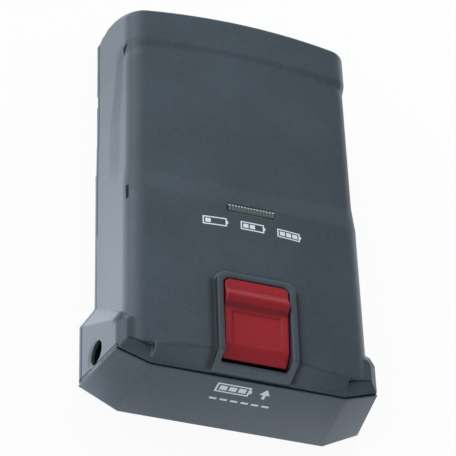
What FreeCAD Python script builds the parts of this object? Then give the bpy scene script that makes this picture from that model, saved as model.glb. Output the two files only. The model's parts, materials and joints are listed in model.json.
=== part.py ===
import FreeCAD, Part
import math
import os
import Sketcher

# Battery pack of a cordless stick vacuum cleaner, in millimetres.
# The pack lies on its flat back: X is its width, +Y the end that goes into the machine, +Z the button side.
# Every piece is drawn with y = 0 at the outer face of the base cap and x = 0 on the middle plane,
# and is then shifted by half the pack's length, so that the origin is under the middle of the pack.

V = FreeCAD.Vector
DOC = FreeCAD.newDocument("VacuumBattery")

SIZES = {
    # Housing
    "pack_length": 146.5,
    "body_width": 80.8,
    "nose_width": 79.2,
    "side_draft": 4.0,
    "side_height": 25.5,
    "crown_rise": 8.3,
    "crown_radius": 125.0,
    "crown_radius_gain": 60.0,
    "corner_radius": 7.0,
    "wall": 2.0,
    "nose_length": 9.0,
    "nose_drop": 18.0,
    "nose_fullness": 1.6,
    "nose_flattening": 90.0,
    "nose_wall_gap": 0.7,
    # Wrap panel, slightly sunk between the foot and the collar
    "panel_depth": 0.8,
    "panel_waist": 0.15,
    "panel_low": 60.5,
    "panel_blend": 2.0,
    "panel_low_blend": 6.0,
    "panel_end_gap": 15.0,
    "panel_low_slope": 0.65,
    "panel_low_end_slope": 1.05,
    "collar_slope": 0.27,
    "side_edge_low": 12.0,
    "side_edge_high": 19.0,
    "side_edge_curve": 23.5,
    "side_edge_bend": 10.0,
    "side_edge_bend_rise": 3.5,
    "side_edge_bend_run": 5.5,
    "side_edge_end": 23.0,
    "side_edge_end_run": 1.5,
    # Foot
    "foot_join": 0.5,
    "foot_width_back": 90.0,
    "foot_width_front": 82.2,
    "foot_flat_back": 65.6,
    "foot_flat_front": 61.0,
    "foot_rise_back": 6.5,
    "foot_rise_front": 3.6,
    "foot_top_back": 28.5,
    "foot_top_front": 14.5,
    "shoulder_back": 8.4,
    "shoulder_front": 3.0,
    "apron_length": 4.7,
    "apron_inset": 1.6,
    "facet_height": 2.5,
    "facet_set_back": 5.8,
    "facet_side_rise": 0.4,
    "facet_side_inset": 1.9,
    "facet_corner_inset": 2.8,
    "facet_room_low": 20.0,
    # Base cap
    "cap_lip": 0.5,
    "cap_plug": 2.0,
    "seam_gap": 0.4,
    "plug_clearance": 0.2,
    # Rear cover
    "cover_thickness": 2.0,
    "rim_height": 2.2,
    "rim_thickness": 1.2,
    "rim_clearance": 0.2,
    "rim_end_gap": 3.0,
    "label_depth": 0.3,
    "label_width": 50.0,
    "label_length": 70.0,
    # Cover screws
    "screw_diameter": 2.4,
    "screw_length": 9.0,
    "screw_head_diameter": 4.6,
    "screw_head_height": 1.6,
    "screw_clearance": 0.3,
    "screw_tip_gap": 1.0,
    "cross_slot": 0.8,
    "cross_margin": 0.9,
    "screw_boss": 7.0,
    "screw_boss_height": 1.8,
    "post_height": 12.0,
    "post_web": 2.0,
    "foot_screw_x": 37.2,
    "foot_screw_y": 22.5,
    "nose_screw_x": 32.6,
    "nose_screw_inset": 5.6,
    # Button frame and opening
    "frame_width": 25.2,
    "frame_top": 35.4,
    "frame_end": 32.3,
    "frame_heel": 2.2,
    "frame_lean": 2.4,
    "frame_corner": 3.2,
    "frame_edge_round": 0.8,
    "frame_root": 4.0,
    "frame_rim": 2.1,
    "opening_corner": 2.2,
    "sill_height": 30.4,
    "sill_thickness": 0.7,
    "sill_lean": 0.7,
    # Release lever
    "lever_gap": 0.4,
    "lever_toe": 3.25,
    "toe_rise": 0.05,
    "toe_drop": 0.9,
    "toe_back": 0.9,
    "toe_round": 0.6,
    "pad_bend": 3.4,
    "pad_bend_drop": 0.7,
    "pad_bend_round": 3.0,
    "pad_bend_shift": 0.8,
    "lever_plate": 2.2,
    "lever_flush": 0.2,
    "ridge_y": 23.0,
    "ridge_height": 1.5,
    "ridge_half": 2.6,
    "ridge_round": 1.3,
    "ridge_foot_round": 1.0,
    "ridge_back_rise": 0.2,
    "ridge_back_round": 2.0,
    "thumb_depth": 0.8,
    "thumb_dish": 0.5,
    "thumb_rim": 2.3,
    "dish_low_gap": 0.6,
    "dish_low_rise": 0.3,
    "dish_high_gap": 1.6,
    "rib_set_back": 2.0,
    "lever_step": 0.4,
    "pivot_y": 40.0,
    "pivot_height": 26.8,
    "pin_diameter": 3.0,
    "pin_running_clearance": 0.05,
    "pin_fit_clearance": 0.01,
    "barrel_diameter": 5.6,
    "barrel_length": 18.0,
    "ear_thickness": 3.2,
    "ear_half_length": 3.2,
    "ear_below_pin": 3.0,
    "ear_gap": 0.4,
    "wing_width": 1.7,
    "wing_length": 4.0,
    "wing_thickness": 2.0,
    "wing_gap": 1.3,
    "wing_step": 5.0,
    "arm_thickness": 3.0,
    # Return spring
    "spring_y": 11.0,
    "spring_diameter": 6.4,
    "spring_wire": 0.7,
    "spring_length": 12.0,
    "spring_pilot": 4.2,
    "spring_pilot_height": 2.0,
    "spring_post": 8.4,
    "spring_boss_depth": 0.8,
    "spring_gap": 0.3,
    # Charge jack
    "jack_y": 11.1,
    "jack_height": 12.0,
    "jack_opening": 7.8,
    "jack_mouth": 10.4,
    "jack_mouth_depth": 0.25,
    "jack_barrel": 7.4,
    "jack_set_back": 2.45,
    "jack_length": 13.0,
    "jack_barrel_length": 3.2,
    "jack_body_width": 9.0,
    "jack_body_height": 10.5,
    "jack_bore": 5.7,
    "jack_bore_depth": 9.5,
    "jack_pin": 2.1,
    "jack_pin_recess": 1.0,
    "jack_contact": 0.4,
    "jack_contact_recess": 1.5,
    "jack_contact_slot": 1.2,
    "jack_board_margin": 1.0,
    "jack_board_lap": 0.5,
    "jack_board_tail": 12.0,
    "jack_rest_tail": 10.0,
    "jack_rest_inset": 2.0,
    # Status window
    "lens_y": 58.9,
    "lens_width": 15.4,
    "lens_height": 2.7,
    "lens_clearance": 0.2,
    "lens_sink": 0.15,
    "lens_rib_pitch": 1.0,
    "lens_rib_depth": 0.3,
    "lens_groove": 0.36,
    "lens_margin": 0.3,
    "lens_flange": 1.2,
    "lens_flange_gap": 0.5,
    "lens_stem_gap": 0.5,
    # Cells
    "cell_diameter": 18.5,
    "cell_length": 65.0,
    "cell_pitch": 19.2,
    "cell_first": 30.0,
    "cell_end_gap": 1.2,
    "cell_cap_diameter": 6.2,
    "cell_cap_height": 0.5,
    "cell_crimp": 0.5,
    "cell_crimp_place": 3.6,
    "cell_crimp_width": 1.2,
    "foam_thickness": 0.8,
    "foam_gap": 0.3,
    "holder_clearance": 0.15,
    "holder_depth": 7.0,
    "holder_margin": 0.9,
    "holder_top": 22.2,
    "strip_thickness": 0.2,
    "strip_width": 8.0,
    "tab_width": 6.0,
    "tab_lap": 2.0,
    "sheet_thickness": 0.3,
    "sheet_margin": 1.0,
    # Circuit board
    "board_thickness": 1.6,
    "board_gap": 1.0,
    "board_width": 58.0,
    "board_start": 46.0,
    "board_end_gap": 7.5,
    "board_corner": 1.5,
    "board_post": 4.0,
    "board_screw_inset": 1.5,
    "board_hole_clearance": 0.1,
    "board_screw_gap": 0.5,
    "board_screw": 1.6,
    "board_screw_length": 5.0,
    "board_screw_head": 3.2,
    "board_screw_head_height": 1.2,
    # What the board carries
    "controller_place": 36.0,
    "controller_width": 9.0,
    "controller_height": 1.4,
    "capacitor_step": 10.0,
    "capacitor_pitch": 28.0,
    "capacitor_diameter": 4.0,
    "capacitor_height": 3.6,
    "transistor_inset": 18.0,
    "transistor_pitch": 18.0,
    "transistor_width": 6.4,
    "transistor_length": 9.2,
    "transistor_height": 2.3,
    "fuse_width": 6.0,
    "fuse_length": 2.6,
    "fuse_height": 1.8,
    "shunt_width": 6.4,
    "shunt_length": 3.2,
    "shunt_height": 0.8,
    "led_width": 1.6,
    "led_length": 0.8,
    "led_height": 0.8,
    "sensor_width": 4.0,
    "sensor_length": 3.0,
    "sensor_gap": 0.1,
    # Terminals and leads
    "blade_count": 5,
    "blade_pitch": 8.0,
    "blade_slot": 1.8,
    "blade_slot_height": 8.0,
    "blade_slot_low": 4.0,
    "terminal_width": 44.0,
    "terminal_depth": 5.8,
    "terminal_height": 11.4,
    "terminal_clearance": 0.2,
    "terminal_back": 1.2,
    "contact_room": 1.0,
    "contact_sheet": 0.5,
    "contact_gap": 0.1,
    "contact_inset": 0.4,
    "end_wall": 2.2,
    "lead_gap": 0.1,
    "lead_room": 0.5,
    "power_lead": 1.8,
    "power_lead_bend": 3.0,
    "power_lead_x": 8.0,
    "power_lead_lap": 7.0,
    "power_lead_out": 0.9,
    "jack_lead": 1.2,
    "jack_lead_bend": 4.0,
    "jack_lead_inset": 0.6,
    "jack_lead_place": 4.0,
    "jack_lead_pitch": 2.6,
    "jack_lead_lap": 6.0,
}


class Measure:
    """A size or a sum of sizes: its value now, and the text that ties it to the sheet."""

    def __init__(self, value, text):
        self.value = value
        self.text = text

    def _with(self, other, sign, value):
        text = other.text if isinstance(other, Measure) else repr(float(other))
        return Measure(value, "(%s %s %s)" % (self.text, sign, text))

    def __add__(self, other):
        return self._with(other, "+", self.value + number(other))

    def __sub__(self, other):
        return self._with(other, "-", self.value - number(other))

    def __mul__(self, other):
        return self._with(other, "*", self.value * number(other))

    def __truediv__(self, other):
        return self._with(other, "/", self.value / number(other))

    def __neg__(self):
        return self * -1.0

    def __radd__(self, other):
        return self + other

    def __rsub__(self, other):
        return -self + other

    def __rmul__(self, other):
        return self * other

    def __float__(self):
        return self.value


def number(size):
    """The plain number of a measure or a number."""
    return size.value if isinstance(size, Measure) else float(size)


def make_sheet():
    """Writes the driving dimensions, one row each, and gives them back as measures."""
    sheet = DOC.addObject("Spreadsheet::Sheet", "Sizes")
    for row, (alias, value) in enumerate(SIZES.items(), start=1):
        sheet.set("A%d" % row, alias)
        sheet.set("B%d" % row, "%g" % value)
        sheet.setAlias("B%d" % row, alias)
    DOC.recompute()
    return {alias: Measure(float(sheet.get(alias)), "Sizes." + alias) for alias in SIZES}


class Sizes:
    """The driving dimensions by name."""

    def __init__(self, measures):
        self.__dict__.update(measures)


S = Sizes(make_sheet())

# Places that several pieces share
NOSE_START = S.pack_length - S.nose_length
PANEL_HIGH = NOSE_START - S.panel_end_gap
CROWN_TOP = S.side_height + S.crown_rise
SHELL_START = S.cap_lip + S.seam_gap
INNER_TOP = CROWN_TOP - S.wall - S.panel_depth
FRAME_INNER = S.frame_width / 2 - S.frame_rim
LEVER_TOP = S.frame_top - S.lever_flush
LEVER_HALF = FRAME_INNER - S.lever_gap
LEVER_END = S.frame_end - S.frame_rim - S.lever_gap
CELL_RADIUS = S.cell_diameter / 2
CELL_HEIGHT = S.cover_thickness + S.foam_thickness + CELL_RADIUS
CELL_ROOM = NOSE_START - S.cell_end_gap - S.holder_margin - CELL_RADIUS - S.cell_first
CELL_COUNT = 1 + int(number(CELL_ROOM) / number(S.cell_pitch))
HOLDER_START = S.cell_first - CELL_RADIUS - S.holder_margin
HOLDER_END = S.cell_first + (CELL_COUNT - 1) * S.cell_pitch + CELL_RADIUS + S.holder_margin
BOARD_BOTTOM = S.holder_top + S.board_gap
BOARD_TOP = BOARD_BOTTOM + S.board_thickness
BOARD_SCREW_X = S.cell_length / 2 - S.holder_depth / 2 - S.board_screw_inset
BOARD_END = NOSE_START - S.board_end_gap
BOARD_SCREW_Y = (S.cell_first + 1.5 * S.cell_pitch, S.cell_first + (CELL_COUNT - 1.5) * S.cell_pitch)
BOARD_SCREWS = [(side, y) for side in (-1.0, 1.0) for y in BOARD_SCREW_Y]
FOOT_TAPER = (S.foot_width_back - S.foot_width_front) / 2
JACK_SIDE = S.foot_width_back / 2 - FOOT_TAPER * S.jack_height / S.side_height
JACK_FACE = JACK_SIDE - S.jack_set_back
JACK_BACK = JACK_FACE - S.jack_length
SPRING_TOP = LEVER_TOP - S.thumb_depth - S.lever_plate - S.spring_boss_depth
SPRING_SEAT = SPRING_TOP - S.spring_gap - S.spring_length
LEAD_DROP_Y = NOSE_START + S.power_lead_out
BLADES = range(int(SIZES["blade_count"]))
TERMINAL_END = S.pack_length - S.end_wall - S.terminal_clearance
COVER_SCREWS = [
    (S.foot_screw_x, S.foot_screw_y),
    (-S.foot_screw_x, S.foot_screw_y),
    (S.nose_screw_x, S.pack_length - S.nose_screw_inset),
    (-S.nose_screw_x, S.pack_length - S.nose_screw_inset),
]

# How far a cutting tool passes the face that it starts from, and how far joined forms sink into each other
PASS = 1.0
FAR = 5.0
# The panel's edge ends below this share of the straight side, and starts below this share of that
EDGE_END_SHARE = 0.9
EDGE_START_SHARE = 0.8
SINK = 0.5

PLACED_Y = {}
NODES = []


def bind(thing, prop, size):
    """Ties one property of an object to the sheet."""
    if isinstance(size, Measure):
        thing.setExpression(prop, size.text)
    else:
        thing.setExpression(prop, repr(float(size)))


def place(thing, point):
    """Ties an object's place to the sheet."""
    for axis, size in zip("xyz", point):
        bind(thing, "Placement.Base." + axis, size)
    PLACED_Y[thing.Name] = point[1]


def box(name, low, high):
    """A block between its lowest and highest corners."""
    block = DOC.addObject("Part::Box", name)
    for prop, a, b in zip(("Length", "Width", "Height"), low, high):
        bind(block, prop, b - a)
    place(block, low)
    return block


AXES = {"x": V(1, 0, 0), "y": V(0, 1, 0), "z": V(0, 0, 1)}


def rod(name, axis, start, radius, length):
    """A cylinder that starts at a point and runs along X, Y or Z."""
    cylinder = DOC.addObject("Part::Cylinder", name)
    bind(cylinder, "Radius", radius)
    bind(cylinder, "Height", length)
    cylinder.Placement = FreeCAD.Placement(V(0, 0, 0), FreeCAD.Rotation(V(0, 0, 1), AXES[axis]))
    place(cylinder, start)
    return cylinder


def origin_plane(body, role):
    """One of a body's own origin planes."""
    return [item for item in body.Origin.OriginFeatures if item.Role == role][0]


def outline_sketch(body, name, role, outline, start):
    """A closed polygon on an origin plane, each corner tied to the sheet."""
    sketch = body.newObject("Sketcher::SketchObject", name)
    sketch.AttachmentSupport = [(origin_plane(body, role), "")]
    sketch.MapMode = "FlatFace"
    bind(sketch, "AttachmentOffset.Base.z", -start if role == "XZ_Plane" else start)
    corners = [V(number(u), number(v), 0) for u, v in outline]
    count = len(corners)
    for index in range(count):
        sketch.addGeometry(Part.LineSegment(corners[index], corners[(index + 1) % count]))
    for index in range(count):
        sketch.addConstraint(Sketcher.Constraint("Coincident", index, 2, (index + 1) % count, 1))
    for index, corner in enumerate(outline):
        for kind, size in zip(("DistanceX", "DistanceY"), corner):
            row = sketch.addConstraint(Sketcher.Constraint(kind, -1, 1, index, 1, number(size)))
            bind(sketch, "Constraints[%d]" % row, size)
    return sketch


def prism(name, role, outline, start, length, rounds=()):
    """A padded polygon: XY_Plane pads along +Z, XZ_Plane along +Y and YZ_Plane along +X.

    rounds lists (corner of the outline, radius) for edges that run along the pad.
    """
    body = DOC.addObject("PartDesign::Body", name)
    pad = body.newObject("PartDesign::Pad", name + "_pad")
    pad.Profile = outline_sketch(body, name + "_outline", role, outline, start)
    bind(pad, "Length", length)
    pad.Reversed = role == "XZ_Plane"
    body.Tip = pad
    last = pad
    for index, (corner, radius) in enumerate(rounds):
        DOC.recompute()
        edges = edges_at(last.Shape, role, corner)
        fillet = body.newObject("PartDesign::Fillet", "%s_round_%d" % (name, index))
        fillet.Base = (last, edges)
        bind(fillet, "Radius", radius)
        body.Tip = fillet
        last = fillet
    return body


PLANE_AXES = {"XY_Plane": ("x", "y"), "XZ_Plane": ("x", "z"), "YZ_Plane": ("y", "z")}


def edges_at(shape, role, corner):
    """Names of the straight edges that stand on one corner of an outline."""
    names = []
    near = 0.001
    for index, edge in enumerate(shape.Edges, start=1):
        ends = [vertex.Point for vertex in edge.Vertexes]
        if len(ends) == 2 and all(
            abs(getattr(point, axis) - number(size)) < near
            for point in ends
            for axis, size in zip(PLANE_AXES[role], corner)
        ):
            names.append("Edge%d" % index)
    return names


def fuse(name, pieces):
    """One solid made of several that touch."""
    joined = DOC.addObject("Part::MultiFuse", name)
    joined.Shapes = pieces
    joined.Refine = True
    return joined


def cut(name, base, tools):
    """A solid less one tool or several."""
    result = DOC.addObject("Part::Cut", name)
    result.Base = base
    result.Tool = tools[0] if len(tools) == 1 else fuse(name + "_tools", tools)
    result.Refine = True
    return result


def common(name, first, second):
    """What two solids share."""
    result = DOC.addObject("Part::Common", name)
    result.Base = first
    result.Tool = second
    result.Refine = True
    return result


def group(name, pieces):
    """Separate solids that share a node."""
    result = DOC.addObject("Part::Compound", name)
    result.Links = pieces
    return result


def feature(name, shape):
    """A shape of its own that no primitive or sketch gives."""
    result = DOC.addObject("Part::Feature", name)
    result.Shape = shape
    return result


def node(thing, label):
    """Names a finished piece and centres it on the pack's length."""
    shift = PLACED_Y.get(thing.Name, 0.0) - S.pack_length / 2
    bind(thing, "Placement.Base.y", shift)
    thing.Label = label
    NODES.append(thing)
    return thing


# Outer form

def section(y, inset=0.0, waist=None, drop=0.0, lean=0.0, flat=False, base=0.0, edge=None, flattening=0.0):
    """One crowned cross-section of the body as a closed wire.

    inset sinks it all round, waist is how far its sides are sunk below the wrap panel's edge, drop lowers
    its front, and lean tilts its plane along the pack. edge is where the panel's edge starts and ends on
    the sides, and flattening makes the crown's radius larger.
    """
    inset = number(inset)
    waist = inset if waist is None else number(waist)
    share = number(y) / number(S.pack_length)
    draft = math.radians(number(S.side_draft))
    corner = number(S.corner_radius) - inset
    radius = number(S.crown_radius) + share * number(S.crown_radius_gain) + flattening
    crown = 50.0 * radius if flat else radius - inset
    top = number(S.side_height if flat else CROWN_TOP) - inset - drop
    width = number(S.body_width) + share * number(S.nose_width - S.body_width)
    foot = V(width / 2 - inset, 0, 0)
    along = V(-math.sin(draft), 0, math.cos(draft))
    inward = V(-math.cos(draft), 0, -math.sin(draft))
    crown_centre = V(0, 0, top - crown)
    reach = foot + inward * corner - crown_centre
    slide = reach.dot(along)
    step = -slide + math.sqrt(slide * slide - reach.dot(reach) + (crown - corner) ** 2)
    centre = foot + along * step + inward * corner
    side_end = foot + along * step
    outward = (centre - crown_centre).normalize()
    crown_end = crown_centre + outward * crown
    middle = (outward - inward).normalize()
    corner_middle = centre + middle * corner
    edge_low, edge_high = edge or (number(S.side_edge_low), number(S.side_edge_high))
    edge_high = min(edge_high, EDGE_END_SHARE * side_end.z)
    edge_low = min(edge_low, EDGE_START_SHARE * edge_high)
    out = V(inset - waist, 0, 0)
    low = foot + along * (base / math.cos(draft)) + out
    edge_start = foot + along * (edge_low / math.cos(draft)) + out
    edge_end = foot + along * (edge_high / math.cos(draft))

    def mirrored(point):
        return V(-point.x, 0, point.z)

    edges = [
        Part.LineSegment(mirrored(low), low),
        Part.LineSegment(low, edge_start),
        Part.LineSegment(edge_start, edge_end),
        Part.LineSegment(edge_end, side_end),
        Part.Arc(side_end, corner_middle, crown_end),
        Part.Arc(crown_end, V(0, 0, top), mirrored(crown_end)),
        Part.Arc(mirrored(crown_end), mirrored(corner_middle), mirrored(side_end)),
        Part.LineSegment(mirrored(side_end), mirrored(edge_end)),
        Part.LineSegment(mirrored(edge_end), mirrored(edge_start)),
        Part.LineSegment(mirrored(edge_start), mirrored(low)),
    ]
    wire = Part.Wire([edge.toShape() for edge in edges])
    start = number(y) + lean * number(CROWN_TOP)
    return wire.transformGeometry(FreeCAD.Matrix(1, 0, 0, 0, 0, 1, -lean, start, 0, 0, 1, 0, 0, 0, 0, 1))


def polygon(points, height):
    """A closed polygon at one height."""
    corners = [V(x, y, height) for x, y in points]
    return Part.makePolygon(corners + corners[:1])


def mirrored_outline(right):
    """The points of the right half, followed by their mirror images."""
    return right + [(-x, y) for x, y in reversed(right)]


def body_form():
    """The crowned body: apron, sunk wrap panel, collar and the rounded nose. It reaches below the flat back."""
    sunk = {"inset": S.panel_depth, "waist": S.panel_waist, "base": -PASS}
    base = -PASS
    low_end = S.panel_low + S.panel_low_blend
    high_end = PANEL_HIGH + S.panel_blend
    bend_low = number(S.side_edge_low + S.side_edge_bend_rise)
    bend = (bend_low, bend_low + number(S.side_edge_bend_run))
    end_low = number(S.side_edge_end)
    end = (end_low, end_low + number(S.side_edge_end_run))
    wires = [
        section(0.0, flat=True, base=base),
        section(SHELL_START, flat=True, base=base),
        section(S.apron_length, base=base),
        section(S.panel_low, lean=number(S.panel_low_slope), base=base),
        section(low_end, lean=number(S.panel_low_end_slope), **sunk),
        section(PANEL_HIGH - S.side_edge_curve, **sunk),
        section(PANEL_HIGH - S.side_edge_bend, edge=bend, **sunk),
        section(PANEL_HIGH, edge=end, **sunk),
        section(high_end, lean=number(S.collar_slope), base=base, edge=end),
    ]
    steps = 6
    fullness = number(S.nose_fullness)
    for index in range(steps + 1):
        share = index / steps
        forward = fullness * share - (fullness - 1) * share * share
        y = NOSE_START + forward * S.nose_length
        wires.append(section(y, drop=share * number(S.nose_drop), base=base, edge=end,
                             flattening=share * number(S.nose_flattening)))
    body = Part.makeLoft(wires, True, True)
    # The foot's front corners have a ledge of their own in place of the apron
    start = number(S.foot_flat_front) / 2
    far = number(S.foot_width_back)
    set_back = number(S.facet_set_back)
    side = number(S.body_width / 2 - S.facet_side_inset)
    rise = number(S.facet_side_rise)
    plan = [(start, -far), (far, -far), (far, set_back + rise), (side, set_back + rise), (start, set_back)]
    low = number(S.facet_room_low)
    up = V(0, 0, number(CROWN_TOP) + FAR - low)
    rooms = [Part.Face(polygon(points, low)).extrude(up) for points in (plan, [(-x, y) for x, y in plan])]
    return body.cut(rooms)


def foot_form():
    """The flared foot: splayed sides, sloping shoulders and small front facets."""
    join = number(S.body_width / 2 - S.foot_join)
    height = number(S.side_height)
    back = [
        (number(S.foot_flat_back) / 2, 0.0),
        (number(S.foot_width_back) / 2, number(S.foot_rise_back)),
        (number(S.foot_width_back) / 2, number(S.foot_top_back)),
        (join, number(S.foot_top_back + S.shoulder_back)),
    ]
    front = [
        (number(S.foot_flat_front) / 2, 0.0),
        (number(S.foot_width_front) / 2, number(S.foot_rise_front)),
        (number(S.foot_width_front) / 2, number(S.foot_top_front)),
        (join - number(S.foot_join), number(S.foot_top_front + S.shoulder_front)),
    ]
    facet = number(S.facet_height)
    facet_side = number(S.body_width / 2 - S.facet_side_inset)
    facet_corner = number(S.body_width / 2 - S.facet_corner_inset)
    facet_low = number(S.facet_set_back)
    top = [
        (front[0][0], facet_low),
        (facet_side, facet_low + number(S.facet_side_rise)),
        (facet_side, number(S.foot_top_front) - facet / 2),
        (facet_corner, number(S.foot_top_front)),
    ]
    wires = [
        polygon(mirrored_outline(back), 0.0),
        polygon(mirrored_outline(front), height),
        polygon(mirrored_outline(top), height + facet),
    ]
    return Part.makeLoft(wires, True, True)


def cap_layer(low, high):
    """The layer between two depths behind the cap's faceted outer face."""
    low, high = number(low), number(high)
    wires = []
    for flat, width, rise, height in (
        (S.foot_flat_back, S.foot_width_back, S.foot_rise_back, 0.0),
        (S.foot_flat_front, S.foot_width_front, S.foot_rise_front, number(S.side_height)),
    ):
        right = [
            (number(flat) / 2, low),
            (number(width) / 2, number(rise) + low),
            (number(width) / 2, number(rise) + high),
            (number(flat) / 2, high),
        ]
        wires.append(polygon(mirrored_outline(right), height))
    return Part.makeLoft(wires, True, True)


def below_cap_layer(depth):
    """Everything below one depth behind the cap's faceted outer face."""
    far = number(S.foot_width_back)
    over = number(CROWN_TOP) + FAR
    wires = []
    for flat, width, rise, height in (
        (S.foot_flat_back, S.foot_width_back, S.foot_rise_back, -PASS),
        (S.foot_flat_back, S.foot_width_back, S.foot_rise_back, 0.0),
        (S.foot_flat_front, S.foot_width_front, S.foot_rise_front, number(S.side_height)),
        (S.foot_flat_front, S.foot_width_front, S.foot_rise_front, over),
    ):
        inner = number(flat) / 2
        slope = number(rise) / (number(width) / 2 - inner)
        right = [(far, -far), (far, (far - inner) * slope + depth), (inner, depth)]
        wires.append(polygon(mirrored_outline(right), height))
    return Part.makeLoft(wires, True, True)


def foot_cavity(clearance, base):
    """The room inside the foot above one height, less a clearance all round."""
    inset = number(S.wall) + clearance
    height = number(S.side_height) - inset
    join = number(S.body_width) / 2 - inset - number(S.panel_depth)
    share = height / number(S.side_height)
    wires = []
    for part_way, level in ((0.0, base), (share, height)):
        width = number(S.foot_width_back) + part_way * number(S.foot_width_front - S.foot_width_back)
        top = number(S.foot_top_back) + part_way * number(S.foot_top_front - S.foot_top_back)
        run = number(S.shoulder_back) + part_way * number(S.shoulder_front - S.shoulder_back)
        side = width / 2 - inset
        right = [(side, -PASS), (side, top - inset), (join, top + run - inset)]
        wires.append(polygon(mirrored_outline(right), level))
    return Part.makeLoft(wires, True, True)


def body_cavity():
    """The room inside the body, from the cap to the nose, which leaves the apron its wall."""
    inset = S.wall + S.panel_depth
    wires = [
        section(-PASS, inset, flat=True, base=-PASS),
        section(SHELL_START + S.apron_inset, inset, flat=True, base=-PASS),
        section(S.apron_length + S.apron_inset, inset, base=-PASS),
        section(NOSE_START - S.nose_wall_gap, inset, base=-PASS),
    ]
    return Part.makeLoft(wires, True, True)


def screw_rods(name, radius, low, high):
    """One rod at each cover screw, between two heights."""
    return [
        rod("%s_%d" % (name, index), "z", (x, y, low), radius, high - low)
        for index, (x, y) in enumerate(COVER_SCREWS)
    ]


OUTER = feature("outer_form", body_form().fuse(foot_form()).removeSplitter())


def make_frame():
    """The raised surround of the button, with its steep front."""
    half = S.frame_width / 2
    root = S.side_height - S.frame_root
    heel_top = S.side_height + S.frame_heel
    edge = (SHELL_START + S.frame_lean, S.frame_top)
    side = prism(
        "frame_side", "YZ_Plane",
        [(SHELL_START, root), (SHELL_START, heel_top), edge, (S.frame_end, S.frame_top), (S.frame_end, root)],
        -half, S.frame_width,
        rounds=[(edge, S.frame_edge_round)],
    )
    corner_right = (half, S.frame_end)
    corner_left = (-half, S.frame_end)
    plan = prism(
        "frame_plan", "XY_Plane",
        [(-half, 0.0), (half, 0.0), corner_right, corner_left],
        root, S.frame_top - root + PASS,
        rounds=[(corner_right, S.frame_corner), (corner_left, S.frame_corner)],
    )
    return common("frame_block", side, plan)


def make_opening():
    """The opening that the lever works in, with a thin sill at its foot."""
    end = S.frame_end - S.frame_rim
    corner_right = (FRAME_INNER, end)
    corner_left = (-FRAME_INNER, end)
    under = S.side_height - FAR
    over = S.frame_top + FAR
    heel_top = S.side_height + S.frame_heel
    sill_face = SHELL_START + (S.sill_height - heel_top) / (S.frame_top - heel_top) * S.frame_lean
    plan = prism(
        "opening_plan", "XY_Plane",
        [(-FRAME_INNER, -PASS), (FRAME_INNER, -PASS), corner_right, corner_left],
        under - PASS, over - under + PASS * 2,
        rounds=[(corner_right, S.opening_corner), (corner_left, S.opening_corner)],
    )
    side = prism(
        "opening_side", "YZ_Plane",
        [
            (sill_face + S.sill_thickness + S.sill_lean, under),
            (sill_face + S.sill_thickness, S.sill_height),
            (-PASS, S.sill_height),
            (-PASS, over),
            (S.frame_end, over),
            (S.frame_end, under),
        ],
        -S.frame_width, S.frame_width * 2,
    )
    return common("opening", side, plan)


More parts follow.
